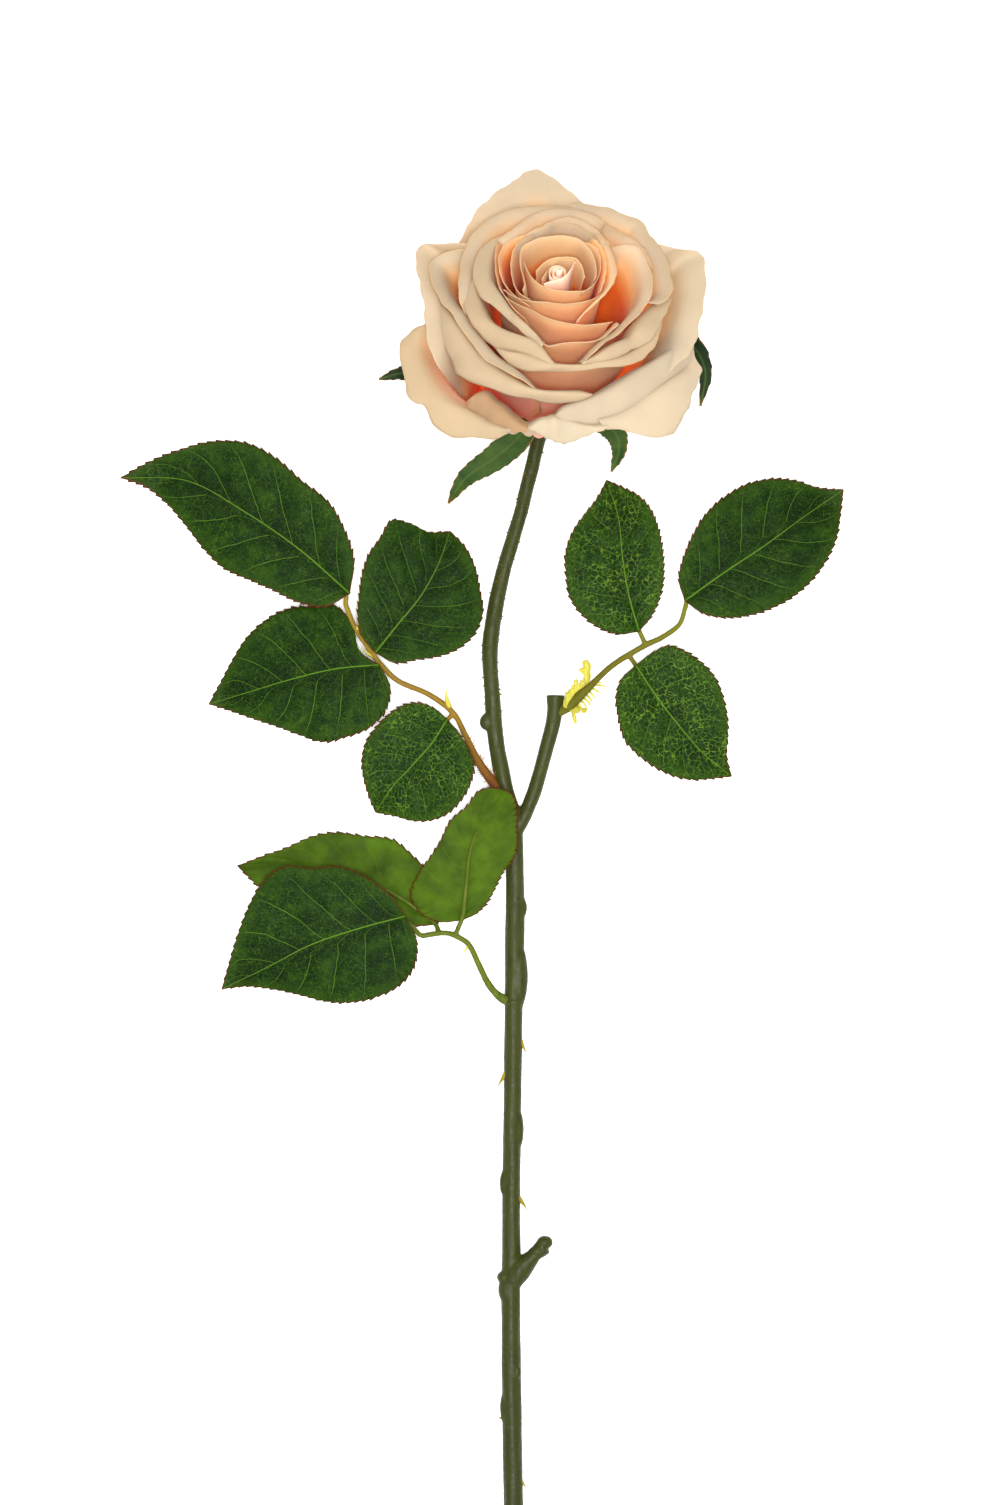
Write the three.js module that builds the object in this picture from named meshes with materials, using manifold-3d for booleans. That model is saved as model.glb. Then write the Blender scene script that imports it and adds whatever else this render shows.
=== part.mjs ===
// An artificial cut rose with an open bloom and three sprays of leaves, lying on its stem.
// Millimetres, +Z up. +Y runs from the cut end of the stem towards the bloom, and z = 0 is
// the surface it lies on. The origin is under the middle of the whole piece.

import * as THREE from 'three';
import { mergeVertices } from 'three/addons/utils/BufferGeometryUtils.js';
import Module from 'manifold-3d';

const wasm = await Module();
wasm.setup();

const { clamp, degToRad, lerp, smoothstep } = THREE.MathUtils;

// Driving dimensions
const BLADE = 0.6; // thickness of petals, sepals and leaflets
const GAP = 0.3; // clearance between a piece and its seat
const STEM_SIDES = 10;
const STEM_RINGS = 52;
const BLOOM_RISE = degToRad(52); // the axis of the bloom above the surface
const BLOOM_LEAN = degToRad(6); // and its turn to the right of +Y
const BLOOM_BASE = new THREE.Vector3(21.2, 177.3, 19.7); // top of the receptacle
const HIP_DEPTH = 16; // receptacle down to the top of the stem
const NECK_RADIUS = 10.8; // bend of the stem under the hip
const RIB_RADIUS = 0.65; // moulded rib under each leaflet
const RIB_REACH = 0.62; // share of the leaflet that the rib runs under

// The profile of a petal from claw to rim, as radius and height over the receptacle,
// for layer 1 (in the bud), layer 4 (middle) and layer 7 (guard petals)
const BUD_PROFILE = [[3.4, -0.6], [4.5, 12], [5.5, 32], [6.3, 50], [7, 60], [7.9, 62.4], [8.3, 62.2]];
const MIDDLE_PROFILE = [[7.6, -2.9], [12, 8.5], [16, 26], [18.8, 45], [21.6, 55], [24.8, 57.6], [26.4, 56.6]];
const GUARD_PROFILE = [[11, -5.6], [22.3, 5], [30, 19], [35.2, 33], [40.8, 41.6], [46.6, 43.2], [51, 41.8]];
const PROFILE_LAYERS = [1, 4, 7];

// Each ring of petals: half angle of a petal at its widest and at its claw, how far the rim
// falls towards the sides, and how round its tip is. Each petal: its azimuth (0 to the right,
// 90 to the back) and layer, how far its tip reaches out and rises, and where it differs
// from its ring.
const PETAL_RINGS = [
  { name: 'bud', half: 72, claw: 32, fall: 0.1, round: 2.3,
    petals: [{ at: 255, layer: 0.25 }, { at: 20, layer: 0.65 }, { at: 140, layer: 1.05 }] },
  { name: 'heart', half: 70, claw: 28, fall: 0.16, round: 2.3,
    petals: [{ at: 310, layer: 1.6 }, { at: 75, layer: 2 }, { at: 190, layer: 2.4 }] },
  { name: 'inner', half: 60, claw: 25, fall: 0.2, round: 2.3,
    petals: [{ at: 262, layer: 3.4 }, { at: 352, layer: 3 }, { at: 82, layer: 3.4 }, { at: 172, layer: 3 }] },
  { name: 'middle', half: 58, claw: 24, fall: 0.22, round: 2.3,
    petals: [{ at: 312, layer: 4.32 }, { at: 35, layer: 3.92 }, { at: 130, layer: 4.4 },
      { at: 220, layer: 4 }] },
  { name: 'cup', half: 50, claw: 22, fall: 0.24, round: 2.3,
    petals: [{ at: 276, layer: 5.4 }, { at: 205, layer: 5 }, { at: 138, layer: 5.45 },
      { at: 72, layer: 5.08 }, { at: 350, layer: 4.8 }] },
  { name: 'outer', half: 52, claw: 22, fall: 0.28, round: 2,
    petals: [{ at: 50, layer: 6 }, { at: 125, layer: 6.4 }, { at: 184, layer: 5.92 },
      { at: 230, layer: 6.46 }, { at: 306, layer: 6.85 }] },
  { name: 'guard', half: 46, claw: 21, fall: 0.34, round: 1.6,
    petals: [
      { at: 21, layer: 7.6, reach: -3, half: 39, fall: 0.24, round: 3 },
      { at: 101, layer: 7.1, reach: 7, lift: 2.5, fall: 0.42, round: 1.15 },
      { at: 156, layer: 7.6, reach: -2, half: 38, fall: 0.26, round: 2 },
      { at: 214, layer: 8, reach: -5.5, lift: -7 },
      { at: 267, layer: 7.45, reach: -1 },
      { at: 324, layer: 8, reach: -4.5, lift: -1 },
    ] },
];
const PETAL_COLUMNS = 6;
const PETAL_ROWS = 7;
const PETAL_SPREAD = 0.34; // share of the way to the rim where a petal is at its widest

const COLOURS = {
  petal: '#e7cda4', heart: '#e3a070', stem: '#525c2c', sepal: '#5c6c3b',
  leaf: '#2f4a21', leafBack: '#63702e', rachis: '#7a7428',
};

// Small helpers

const point = (x, y, z) => new THREE.Vector3(x, y, z);

function material(colour, roughness) {
  return new THREE.MeshStandardMaterial({ color: colour, roughness, metalness: 0 });
}

function valueAt(table, x) {
  // Straight lines between the [x, value] pairs of a table
  const last = table.length - 1;
  if (x <= table[0][0]) return table[0][1];
  if (x >= table[last][0]) return table[last][1];
  const next = table.findIndex(([key]) => key > x);
  const [x0, a] = table[next - 1];
  const [x1, b] = table[next];
  return lerp(a, b, (x - x0) / (x1 - x0));
}

function meshGeometry(points, triangles) {
  const geometry = new THREE.BufferGeometry();
  const flat = points.flatMap((p) => [p.x, p.y, p.z]);
  geometry.setAttribute('position', new THREE.Float32BufferAttribute(flat, 3));
  geometry.setIndex(triangles);
  return geometry;
}

function solid(geometry) {
  // A closed geometry as a solid that can be joined or cut
  const bare = geometry.clone();
  bare.deleteAttribute('normal');
  bare.deleteAttribute('uv');
  const merged = mergeVertices(bare, 1e-4);
  const mesh = new wasm.Mesh({
    numProp: 3,
    vertProperties: new Float32Array(merged.attributes.position.array),
    triVerts: new Uint32Array(merged.index.array),
  });
  return new wasm.Manifold(mesh);
}

function geometryOf(body) {
  const { vertProperties, triVerts } = body.getMesh();
  const geometry = new THREE.BufferGeometry();
  geometry.setAttribute('position', new THREE.Float32BufferAttribute(vertProperties, 3));
  geometry.setIndex(new THREE.Uint32BufferAttribute(triVerts, 1));
  return geometry;
}

function joined(geometries) {
  return geometries.map(solid).reduce((sum, next) => sum.add(next));
}

function loft(rings) {
  // Closed skin over rings of points that run anticlockwise seen from the last ring
  const sides = rings[0].length;
  const points = rings.flat();
  const triangles = [];
  for (let i = 0; i < rings.length - 1; i += 1) {
    for (let k = 0; k < sides; k += 1) {
      const a = i * sides + k;
      const b = i * sides + ((k + 1) % sides);
      triangles.push(a, b, b + sides, a, b + sides, a + sides);
    }
  }
  const end = (rings.length - 1) * sides;
  for (let k = 1; k < sides - 1; k += 1) {
    triangles.push(0, k + 1, k);
    triangles.push(end, end + k, end + k + 1);
  }
  return meshGeometry(points, triangles);
}

function tube(path, radiusAt, sides, rings) {
  // Round bar along a curve; radiusAt takes the share of the way, 0 to 1
  const curve = new THREE.CatmullRomCurve3(path, false, 'catmullrom', 0.5);
  const list = [];
  for (let i = 0; i <= rings; i += 1) {
    const share = i / rings;
    const centre = curve.getPoint(share);
    const along = curve.getTangent(share);
    const side = along.clone().cross(point(0, 0, 1)).normalize();
    const up = side.clone().cross(along);
    const radius = radiusAt(share, centre);
    const ring = [];
    for (let k = 0; k < sides; k += 1) {
      const angle = (2 * Math.PI * (k + 0.5)) / sides - Math.PI / 2;
      ring.push(centre.clone()
        .addScaledVector(side, -radius * Math.cos(angle))
        .addScaledVector(up, radius * Math.sin(angle)));
    }
    ring.forEach((corner) => corner.setZ(Math.max(corner.z, 0)));
    list.push(ring);
  }
  return loft(list);
}

function taper(start, end) {
  return (share) => lerp(start, end, share);
}

function plate(grid, thickness, upright) {
  // Thin closed blade over a grid of points, split into triangles alike on both faces. Its
  // thickness is measured along upright, or square to the grid where that isn't given.
  const rows = grid.length;
  const columns = grid[0].length;
  const faces = [[], []];
  for (let i = 0; i < rows; i += 1) {
    for (let j = 0; j < columns; j += 1) {
      const up = grid[Math.min(i + 1, rows - 1)][j].clone().sub(grid[Math.max(i - 1, 0)][j]);
      const across = grid[i][Math.min(j + 1, columns - 1)].clone().sub(grid[i][Math.max(j - 1, 0)]);
      const normal = upright || across.cross(up).normalize();
      faces[0].push(grid[i][j].clone().addScaledVector(normal, thickness / 2));
      faces[1].push(grid[i][j].clone().addScaledVector(normal, -thickness / 2));
    }
  }
  const back = rows * columns;
  const at = (i, j) => i * columns + j;
  const triangles = [];
  for (let i = 0; i < rows - 1; i += 1) {
    for (let j = 0; j < columns - 1; j += 1) {
      const quad = [at(i, j), at(i, j + 1), at(i + 1, j + 1), at(i + 1, j)];
      triangles.push(quad[0], quad[1], quad[2], quad[0], quad[2], quad[3]);
      triangles.push(back + quad[0], back + quad[2], back + quad[1]);
      triangles.push(back + quad[0], back + quad[3], back + quad[2]);
    }
  }
  const rim = [];
  for (let j = 0; j < columns - 1; j += 1) rim.push(at(0, j));
  for (let i = 0; i < rows - 1; i += 1) rim.push(at(i, columns - 1));
  for (let j = columns - 1; j > 0; j -= 1) rim.push(at(rows - 1, j));
  for (let i = rows - 1; i > 0; i -= 1) rim.push(at(i, 0));
  rim.forEach((a, k) => {
    const b = rim[(k + 1) % rim.length];
    triangles.push(a, back + b, b, a, back + a, back + b);
  });
  return meshGeometry([...faces[0], ...faces[1]], triangles);
}

// The frame of the bloom

const ACROSS = point(Math.cos(BLOOM_LEAN), -Math.sin(BLOOM_LEAN), 0);
const AXIS = point(
  Math.sin(BLOOM_LEAN) * Math.cos(BLOOM_RISE),
  Math.cos(BLOOM_LEAN) * Math.cos(BLOOM_RISE),
  Math.sin(BLOOM_RISE),
);
const BACK = AXIS.clone().cross(ACROSS);

function bloomPoint(radius, azimuth, height) {
  return BLOOM_BASE.clone()
    .addScaledVector(ACROSS, radius * Math.cos(azimuth))
    .addScaledVector(BACK, radius * Math.sin(azimuth))
    .addScaledVector(AXIS, height);
}

function lathe(profile, sides) {
  // Turned body on the axis of the bloom, from its top down to its foot
  const rings = [...profile].reverse().map(([radius, height]) => {
    const ring = [];
    for (let k = 0; k < sides; k += 1) ring.push(bloomPoint(radius, (2 * Math.PI * k) / sides, height));
    return ring;
  });
  return loft(rings);
}

// Petals

function profileAt(layer, share) {
  // Radius and height at a share of the way from claw to rim, blended between the profiles
  const s = (layer - PROFILE_LAYERS[0]) / (PROFILE_LAYERS[1] - PROFILE_LAYERS[0]);
  const weights = [((s - 1) * (s - 2)) / 2, s * (2 - s), (s * (s - 1)) / 2];
  const last = BUD_PROFILE.length - 1;
  const knot = (index, axis) => {
    const i = clamp(index, 0, last);
    const own = weights[0] * BUD_PROFILE[i][axis] + weights[1] * MIDDLE_PROFILE[i][axis]
      + weights[2] * GUARD_PROFILE[i][axis];
    if (index === i) return own;
    return 2 * own - knot(index < 0 ? 1 : last - 1, axis);
  };
  const place = clamp(share, 0, 1) * last;
  const i = Math.min(Math.floor(place), last - 1);
  const t = place - i;
  return [0, 1].map((axis) => {
    const [a, b, c, d] = [-1, 0, 1, 2].map((step) => knot(i + step, axis));
    return 0.5 * (2 * b + (c - a) * t + (2 * a - 5 * b + 4 * c - d) * t * t
      + (3 * b - a - 3 * c + d) * t * t * t);
  });
}

function petalPoint(shape, u, v) {
  // u runs across the petal from -1 to 1, and v from the claw to the rim
  const share = v * (1 - shape.fall * Math.abs(u) ** shape.round);
  const [radius, height] = profileAt(shape.layer, share);
  const half = lerp(shape.claw, shape.half, smoothstep(share, 0, PETAL_SPREAD));
  const bend = share ** 3;
  return bloomPoint(radius + shape.reach * bend, degToRad(shape.at + u * half), height + shape.lift * bend);
}

function petal(shape) {
  const grid = [];
  for (let i = 0; i <= PETAL_ROWS; i += 1) {
    const row = [];
    for (let j = 0; j <= PETAL_COLUMNS; j += 1) {
      row.push(petalPoint(shape, (2 * j) / PETAL_COLUMNS - 1, i / PETAL_ROWS));
    }
    grid.push(row);
  }
  return plate(grid, BLADE);
}

function petals() {
  const group = new THREE.Group();
  for (const ring of PETAL_RINGS) {
    ring.petals.forEach((own, k) => {
      const shape = { reach: 0, lift: 0, ...ring, ...own };
      const colour = shape.layer < 3 ? COLOURS.heart : COLOURS.petal;
      const mesh = new THREE.Mesh(petal(shape), material(colour, 0.75));
      mesh.name = `petal_${ring.name}_${k + 1}`;
      group.add(mesh);
    });
  }
  return group;
}

function budCore() {
  const profile = [[0.5, 62], [1.9, 59.5], [2.9, 54], [2.9, 46], [2.4, 30], [1.8, 12], [1.3, 0.95]];
  const mesh = new THREE.Mesh(lathe(profile, 10), material(COLOURS.heart, 0.75));
  mesh.name = 'bud_core';
  return mesh;
}

// Stem

// Middle of the stem as it lies, from the cut end to the start of the neck
const STEM_LINE = [
  [10.3, -250], [10.3, -222], [10.3, -194], [9.7, -160], [9.5, -130], [9.7, -85], [10.2, -45],
  [10.7, -10], [10.8, 17], [10, 33], [7.2, 45], [4.5, 60], [3.2, 75], [2.5, 90], [4.5, 105],
  [8, 120], [12.5, 135], [16.2, 150], [18.7, 160],
];
const STEM_RADII = [[-250, 3.25], [-130, 3.25], [-85, 3.05], [-45, 3.05], [-5, 3.25], [30, 3.0],
  [60, 2.7], [105, 2.65], [132, 2.35], [175, 2.35]];
const FLAT = Math.cos(Math.PI / STEM_SIDES); // middle of a side of the section, per radius

function stemLine() {
  const lying = STEM_LINE.map(([x, y]) => point(x, y, valueAt(STEM_RADII, y) * FLAT));
  const end = BLOOM_BASE.clone().addScaledVector(AXIS, -HIP_DEPTH - 2 * GAP);
  const neck = [degToRad(20), degToRad(40), BLOOM_RISE].map((angle) => {
    const level = NECK_RADIUS * (Math.sin(BLOOM_RISE) - Math.sin(angle));
    const fall = NECK_RADIUS * (Math.cos(angle) - Math.cos(BLOOM_RISE));
    return point(end.x - level * Math.sin(BLOOM_LEAN), end.y - level * Math.cos(BLOOM_LEAN), end.z - fall);
  });
  return [...lying, ...neck];
}

// Side shoot that forks off to the right and ends in a plain cut
const SHOOT_LINE = [[9.6, 27, 3], [13.2, 33, 3], [16.2, 40, 3.2], [18.6, 47, 3.5], [21, 56, 3.9],
  [23.2, 64, 4.3], [24.1, 70, 4.6], [24.3, 75, 4.8]];
const SHOOT_RADII = [[0, 2.4], [0.5, 2.4], [0.85, 2.6], [1, 3.1]];

// Sawn branch stub low on the right
const STUB_LINE = [[10, -121, 3.4], [13, -116.5, 3.8], [17, -112.5, 4.4], [20.6, -109, 4.9]];
const STUB_RADII = [[0, 3.1], [0.35, 3.3], [0.7, 2.4], [0.85, 2.6], [1, 3.1]];

// Knots: middle, then half sizes across, along and up
const KNOTS = [
  [[1.2, 66, 3], [2.2, 2.8, 2]], [[13.2, 4, 3.4], [1.6, 3.4, 1.7]], [[12.2, -19, 3.4], [3, 11, 2.9]],
  [[10.4, -27.6, 3.3], [3.7, 1.5, 3.2]], [[12, -70, 3.3], [1.9, 6.5, 2]], [[7.4, -88, 3.3], [1.7, 4.5, 2]],
  [[7.8, -117, 3.4], [2.9, 3.6, 2.8]], [[11.5, -151, 5.6], [1.4, 2.4, 1.2]],
  [[7.7, -163, 3.3], [1.9, 6, 1.9]],
];

// Thorns: foot, tip and the radius of the foot
const THORNS = [
  [[4.4, 75.5, 3.2], [7.4, 74.6, 3.6], 1], [[12.6, -43.5, 3.4], [15.4, -41, 3.6], 1.1],
  [[8, -51.5, 3.4], [4.6, -56.5, 3.6], 1.4], [[12.2, -93.5, 3.6], [15.4, -97.5, 3.8], 1.3],
  [[12.2, -187, 3.4], [15, -190.5, 3.5], 1.2], [[8, -168, 3.4], [4.9, -166, 3.5], 1.5],
  [[11.8, -228, 4.4], [14.6, -232, 5.4], 1.2],
];

function knot([centre, halves]) {
  const ball = new THREE.IcosahedronGeometry(1, 1);
  ball.scale(...halves);
  ball.translate(...centre);
  return ball;
}

function thorn([foot, tip, radius]) {
  const start = point(...foot);
  const along = point(...tip).sub(start);
  const cone = new THREE.ConeGeometry(radius, along.length() * 1.5, 5);
  cone.applyQuaternion(new THREE.Quaternion().setFromUnitVectors(point(0, 1, 0), along.clone().normalize()));
  const middle = start.addScaledVector(along, 0.25);
  cone.translate(middle.x, middle.y, middle.z);
  return cone;
}

function stemBody(extra) {
  // The stem and its shoot, thicker by extra all round
  const main = tube(stemLine(), (share, at) => valueAt(STEM_RADII, at.y) + extra, STEM_SIDES, STEM_RINGS);
  const shootLine = SHOOT_LINE.map((p) => point(...p));
  const shoot = tube(shootLine, (share) => valueAt(SHOOT_RADII, share) + extra, 8, 10);
  return joined([main, shoot]);
}

function stem() {
  const stub = tube(STUB_LINE.map((p) => point(...p)), (share) => valueAt(STUB_RADII, share), 8, 8);
  const details = joined([stub, ...KNOTS.map(knot), ...THORNS.map(thorn)]);
  const mesh = new THREE.Mesh(geometryOf(stemBody(0).add(details)), material(COLOURS.stem, 0.4));
  mesh.name = 'stem';
  return mesh;
}

// Calyx: the receptacle that carries the petals, the hip, and five sepals

const HIP_PROFILE = [[0.4, 0.6], [3.4, -1.15], [7.6, -3.45], [12.6, -7.9], [12.4, -8.9], [10.4, -11],
  [7, -13], [4.2, -14.6], [3.3, -16]];

// Middle line of each sepal from inside the hip to its tip, and its half width
const SEPALS = [
  { line: [[17, 168.5, 11], [12, 161, 10], [4, 154, 8.5], [-5.5, 147.5, 6], [-11.5, 139, 2.5]], half: 4.6 },
  { line: [[28.5, 170, 11.5], [37.5, 167.5, 13], [44, 162.5, 13], [45.5, 156.5, 11.5], [43, 149.5, 8.5]],
    half: 3.8 },
  { line: [[15, 173.5, 10.5], [3, 175, 9.5], [-12, 178, 12], [-25, 182, 18], [-34.5, 180, 19.5]], half: 4 },
  { line: [[27, 174.5, 10], [41, 179, 8], [56, 187, 12], [68, 192, 20], [74, 183, 23.5], [72.5, 171, 21]],
    half: 4.2 },
  { line: [[20.8, 173, 9], [21.8, 183, 3.4], [23.4, 194, 2.4], [25, 208, 4], [27, 220, 5], [28, 229, 3]],
    half: 4.2 },
];
const SEPAL_ROWS = 12;
const SEPAL_CUP = 0.18; // rise of its sides over its middle
const TOOTH_DEPTH = 0.8; // of the edges of sepals and leaflets

function sepal({ line, half }) {
  const curve = new THREE.CatmullRomCurve3(line.map((p) => point(...p)), false, 'catmullrom', 0.5);
  const grid = [];
  for (let i = 0; i <= SEPAL_ROWS; i += 1) {
    const share = i / SEPAL_ROWS;
    const centre = curve.getPoint(share);
    const side = curve.getTangent(share).cross(point(0, 0, 1)).normalize();
    const notch = i % 2 ? TOOTH_DEPTH : 0;
    const width = Math.max(half * Math.sin(Math.PI * share ** 0.62) ** 0.7 - notch, 0.4);
    grid.push([-1, 0, 1].map((t) => centre.clone().addScaledVector(side, t * width)
      .add(point(0, 0, SEPAL_CUP * width * Math.abs(t)))));
  }
  return plate(grid, BLADE);
}

function calyx() {
  const body = joined([lathe(HIP_PROFILE, 14), ...SEPALS.map(sepal)]);
  const mesh = new THREE.Mesh(geometryOf(body), material(COLOURS.sepal, 0.7));
  mesh.name = 'calyx';
  return mesh;
}

// Leaflets

// Each leaflet: heights of its foot and tip, rise of its middle, slope of its left and right
// sides, teeth, and in the plan the midrib from foot to tip and the edges to the left and
// right of it. A tip below the surface lies flat on it. A leaflet with turned: true shows
// its underside.
const LEAFLETS = [
  { name: 'leaflet_left_1', ends: [11.4, -4.5], rise: 4, slopes: [0.1, 0.16], teeth: 12,
    middle: [[-44.2, 108.7], [-60.9, 123.4], [-79.3, 136.1], [-98.8, 146.6], [-121, 147.7]],
    left: [[-51.9, 104.7], [-61.1, 105.9], [-69.6, 109.9], [-78.1, 113.6], [-86.4, 117.5],
      [-93.2, 124], [-98.9, 131.4], [-105, 138.5], [-112.2, 144.4]],
    right: [[-42.9, 119.3], [-46, 129.9], [-51.6, 139.4], [-60.4, 146.4], [-68.9, 153.8],
      [-78.7, 158.9], [-89.8, 159.6], [-100.7, 157], [-111.2, 153]] },
  { name: 'leaflet_left_2', ends: [13, -2], rise: 3, slopes: [0.12, -0.12], teeth: 10,
    middle: [[-34.2, 85], [-48.9, 83.7], [-63.2, 80.4], [-77.4, 76.2], [-91.5, 72]],
    left: [[-30.8, 77.7], [-32.3, 69.9], [-37.8, 64.1], [-45.3, 61.1], [-53.2, 59.4], [-60.8, 61.6],
      [-68.4, 64.4], [-76.1, 66.9], [-83.8, 69.6]],
    right: [[-41, 89.8], [-43.3, 97.9], [-48.6, 104.4], [-56.8, 104.5], [-65.1, 103.6],
      [-72.6, 99.7], [-78.8, 94], [-83.4, 86.9], [-87.4, 79.5]] },
  { name: 'leaflet_left_3', ends: [12.8, 9.5], rise: 1.5, slopes: [0.14, 0.1], teeth: 10,
    middle: [[-35.8, 89], [-28.3, 98.4], [-20.7, 107.8], [-14.9, 118.3], [-10.8, 129.7]],
    left: [[-40.1, 94.5], [-41.5, 101.3], [-41, 108.2], [-40, 115.1], [-37.8, 121.6],
      [-33.9, 127.4], [-30.3, 133], [-23.8, 132], [-17.7, 129.2]],
    right: [[-29.2, 85.7], [-21.8, 86.8], [-14.4, 87.9], [-7.6, 90.7], [-2.3, 95.9], [0.1, 102.8],
      [-1, 110.2], [-2.5, 117.5], [-5.8, 124.2]] },
  { name: 'leaflet_left_4', ends: [13.2, 6.5], rise: 1.5, slopes: [0.1, 0.12], teeth: 9,
    middle: [[-11.7, 67], [-17.1, 58.7], [-23.7, 51.2], [-30.4, 43.9], [-35.7, 35.7]],
    left: [[-7.7, 62.2], [-4.7, 56.8], [-2.9, 51], [-4.3, 44.9], [-7.4, 39.7], [-11.9, 35.3],
      [-17.5, 33.2], [-23.7, 33.1], [-29.6, 34.7]],
    right: [[-15.6, 70.2], [-20.9, 72.3], [-26.7, 71.3], [-31.7, 68.1], [-35.8, 63.7], [-39, 58.8],
      [-40.2, 52.9], [-39.6, 47], [-37.9, 41.2]] },
  { name: 'leaflet_right_1', ends: [12.2, -2.8], rise: 4, slopes: [0.12, 0.12], teeth: 10,
    middle: [[67.3, 106.3], [80.6, 115.8], [94.1, 124.8], [107.2, 134.4], [120.7, 143.7]],
    left: [[65.4, 113.8], [67.4, 121.7], [70.7, 129.2], [75.2, 136], [81.3, 141.3], [88.5, 145.3],
      [96.5, 147], [104.6, 146.5], [112.5, 144.2]],
    right: [[73.6, 102.1], [81.6, 100.7], [89.6, 101.7], [97.2, 104.3], [104.2, 108.3],
      [110.2, 113.7], [114.9, 120.3], [118.2, 127.7], [119.6, 135.6]] },
  { name: 'leaflet_right_2', ends: [13.4, 9], rise: 2, slopes: [0.16, 0.12], teeth: 10,
    middle: [[52.2, 96], [48.7, 108.5], [46.6, 121.4], [45.3, 134.3], [41.4, 146.7]],
    left: [[45.1, 95.2], [38.5, 97.5], [32.9, 102], [29, 107.8], [27.9, 114.9], [27.7, 122],
      [29.8, 128.8], [33.7, 134.7], [38.1, 140.3]],
    right: [[55.9, 100.6], [58.6, 106.1], [60.1, 112.1], [60.3, 118.3], [59.7, 124.5],
      [58.5, 130.5], [56.3, 136.3], [52.4, 141], [47, 144]] },
  { name: 'leaflet_right_3', ends: [13.4, 6], rise: 1.5, slopes: [0.12, 0.14], teeth: 9,
    middle: [[51, 85], [57.9, 74.7], [65.4, 64.9], [73.6, 55.6], [83.2, 47.8]],
    left: [[56.3, 88.9], [62.3, 91.4], [68.4, 89], [73.7, 85], [77.9, 80.1], [80.2, 73.9],
      [81.6, 67.4], [81.8, 60.8], [81.5, 54.2]],
    right: [[46.3, 80.3], [44.5, 73.8], [45.4, 67], [47.2, 60.5], [51.5, 55.3], [57, 51.3],
      [63, 48.3], [69.6, 46.8], [76.4, 47.1]] },
  { name: 'leaflet_low_1', ends: [13.8, -2], rise: 4, slopes: [0.1, 0.14], teeth: 11,
    middle: [[-25.5, 1.3], [-41.6, -3], [-57.4, -8.4], [-72.2, -16.1], [-87.2, -23.3]],
    left: [[-22, -6.5], [-22.7, -15.1], [-27.9, -21.9], [-35.7, -25.7], [-44.2, -27.5],
      [-52.8, -27.1], [-61.3, -25], [-69.8, -23.3], [-78.5, -22.4]],
    right: [[-31.4, 8.8], [-39.1, 14.2], [-47.6, 17.7], [-57, 17.1], [-66.3, 17.6], [-73.7, 11.8],
      [-78.3, 3.6], [-81.7, -5.2], [-84.5, -14.2]] },
  { name: 'leaflet_low_2', ends: [6.6, 1.2], rise: 0.6, slopes: [0, 0], teeth: 10, turned: true,
    middle: [[-14.8, -1.7], [-29.6, 8.6], [-46.3, 15.1], [-64, 17.8], [-82, 17.9]],
    left: [[-21.9, -2], [-28.8, -0.2], [-35.7, 2], [-42.9, 3.2], [-50.1, 3.9], [-57.3, 4.9],
      [-64.4, 6.2], [-71.2, 8.5], [-76.8, 12.8]],
    right: [[-14.2, 6.8], [-17.7, 15], [-23.6, 21.5], [-30.7, 26.8], [-39.5, 27.7], [-48.3, 29],
      [-57.1, 27.6], [-65.2, 24], [-73.6, 21.1]] },
  { name: 'leaflet_low_3', ends: [9.2, 9.8], rise: 1.5, slopes: [-0.1, -0.1], teeth: 9, turned: true,
    middle: [[-6.8, -0.3], [-5.4, 11.3], [-4.1, 22.9], [-0, 33.9], [5.8, 44]],
    left: [[-14, -0.7], [-20.4, 2.4], [-24, 8.2], [-21.5, 14.8], [-17.5, 20.7], [-13.8, 26.8],
      [-10.6, 33.1], [-5.3, 37.7], [-0.8, 43.2]],
    right: [[-2, 2.1], [1.7, 6], [4.3, 10.8], [6.7, 15.7], [9.9, 20.1], [11.5, 25.3], [11.4, 30.7],
      [11.3, 36.2], [10.3, 41.3]] },
];
const LEAF_END = 0.35; // half width where a blade starts and ends
const LEAF_THICKNESS = 0.64; // measured upright, so that a sloping blade is 0.6 thick

function planCurve(points) {
  return new THREE.CatmullRomCurve3(points.map(([x, y]) => point(x, y, 0)), false, 'catmullrom', 0.5);
}

for (const leaf of LEAFLETS) {
  const [foot, tip] = [leaf.middle[0], leaf.middle[leaf.middle.length - 1]];
  leaf.midrib = planCurve(leaf.middle);
  leaf.edges = [leaf.left, leaf.right].map((edge) => planCurve([foot, ...edge, tip]));
}

function leafMiddle(leaf, share) {
  const hump = 4 * share * (1 - share);
  return leaf.midrib.getPoint(share).setZ(lerp(leaf.ends[0], leaf.ends[1], share) + leaf.rise * hump);
}

function leafPoint(leaf, share, across, notch) {
  // across runs from -1 at the left edge to 1 at the right edge
  const side = across < 0 ? 0 : 1;
  const middle = leafMiddle(leaf, share);
  const reach = leaf.edges[side].getPoint(share).setZ(middle.z).sub(middle);
  if (reach.length() < LEAF_END) {
    const along = leaf.midrib.getTangent(share);
    reach.set(along.y, -along.x, 0).multiplyScalar(side ? 1 : -1);
    reach.setLength(LEAF_END);
  }
  const width = Math.max(reach.length() - notch, LEAF_END) * Math.abs(across);
  return middle.add(reach.setLength(width)).add(point(0, 0, leaf.slopes[side] * width));
}

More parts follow.
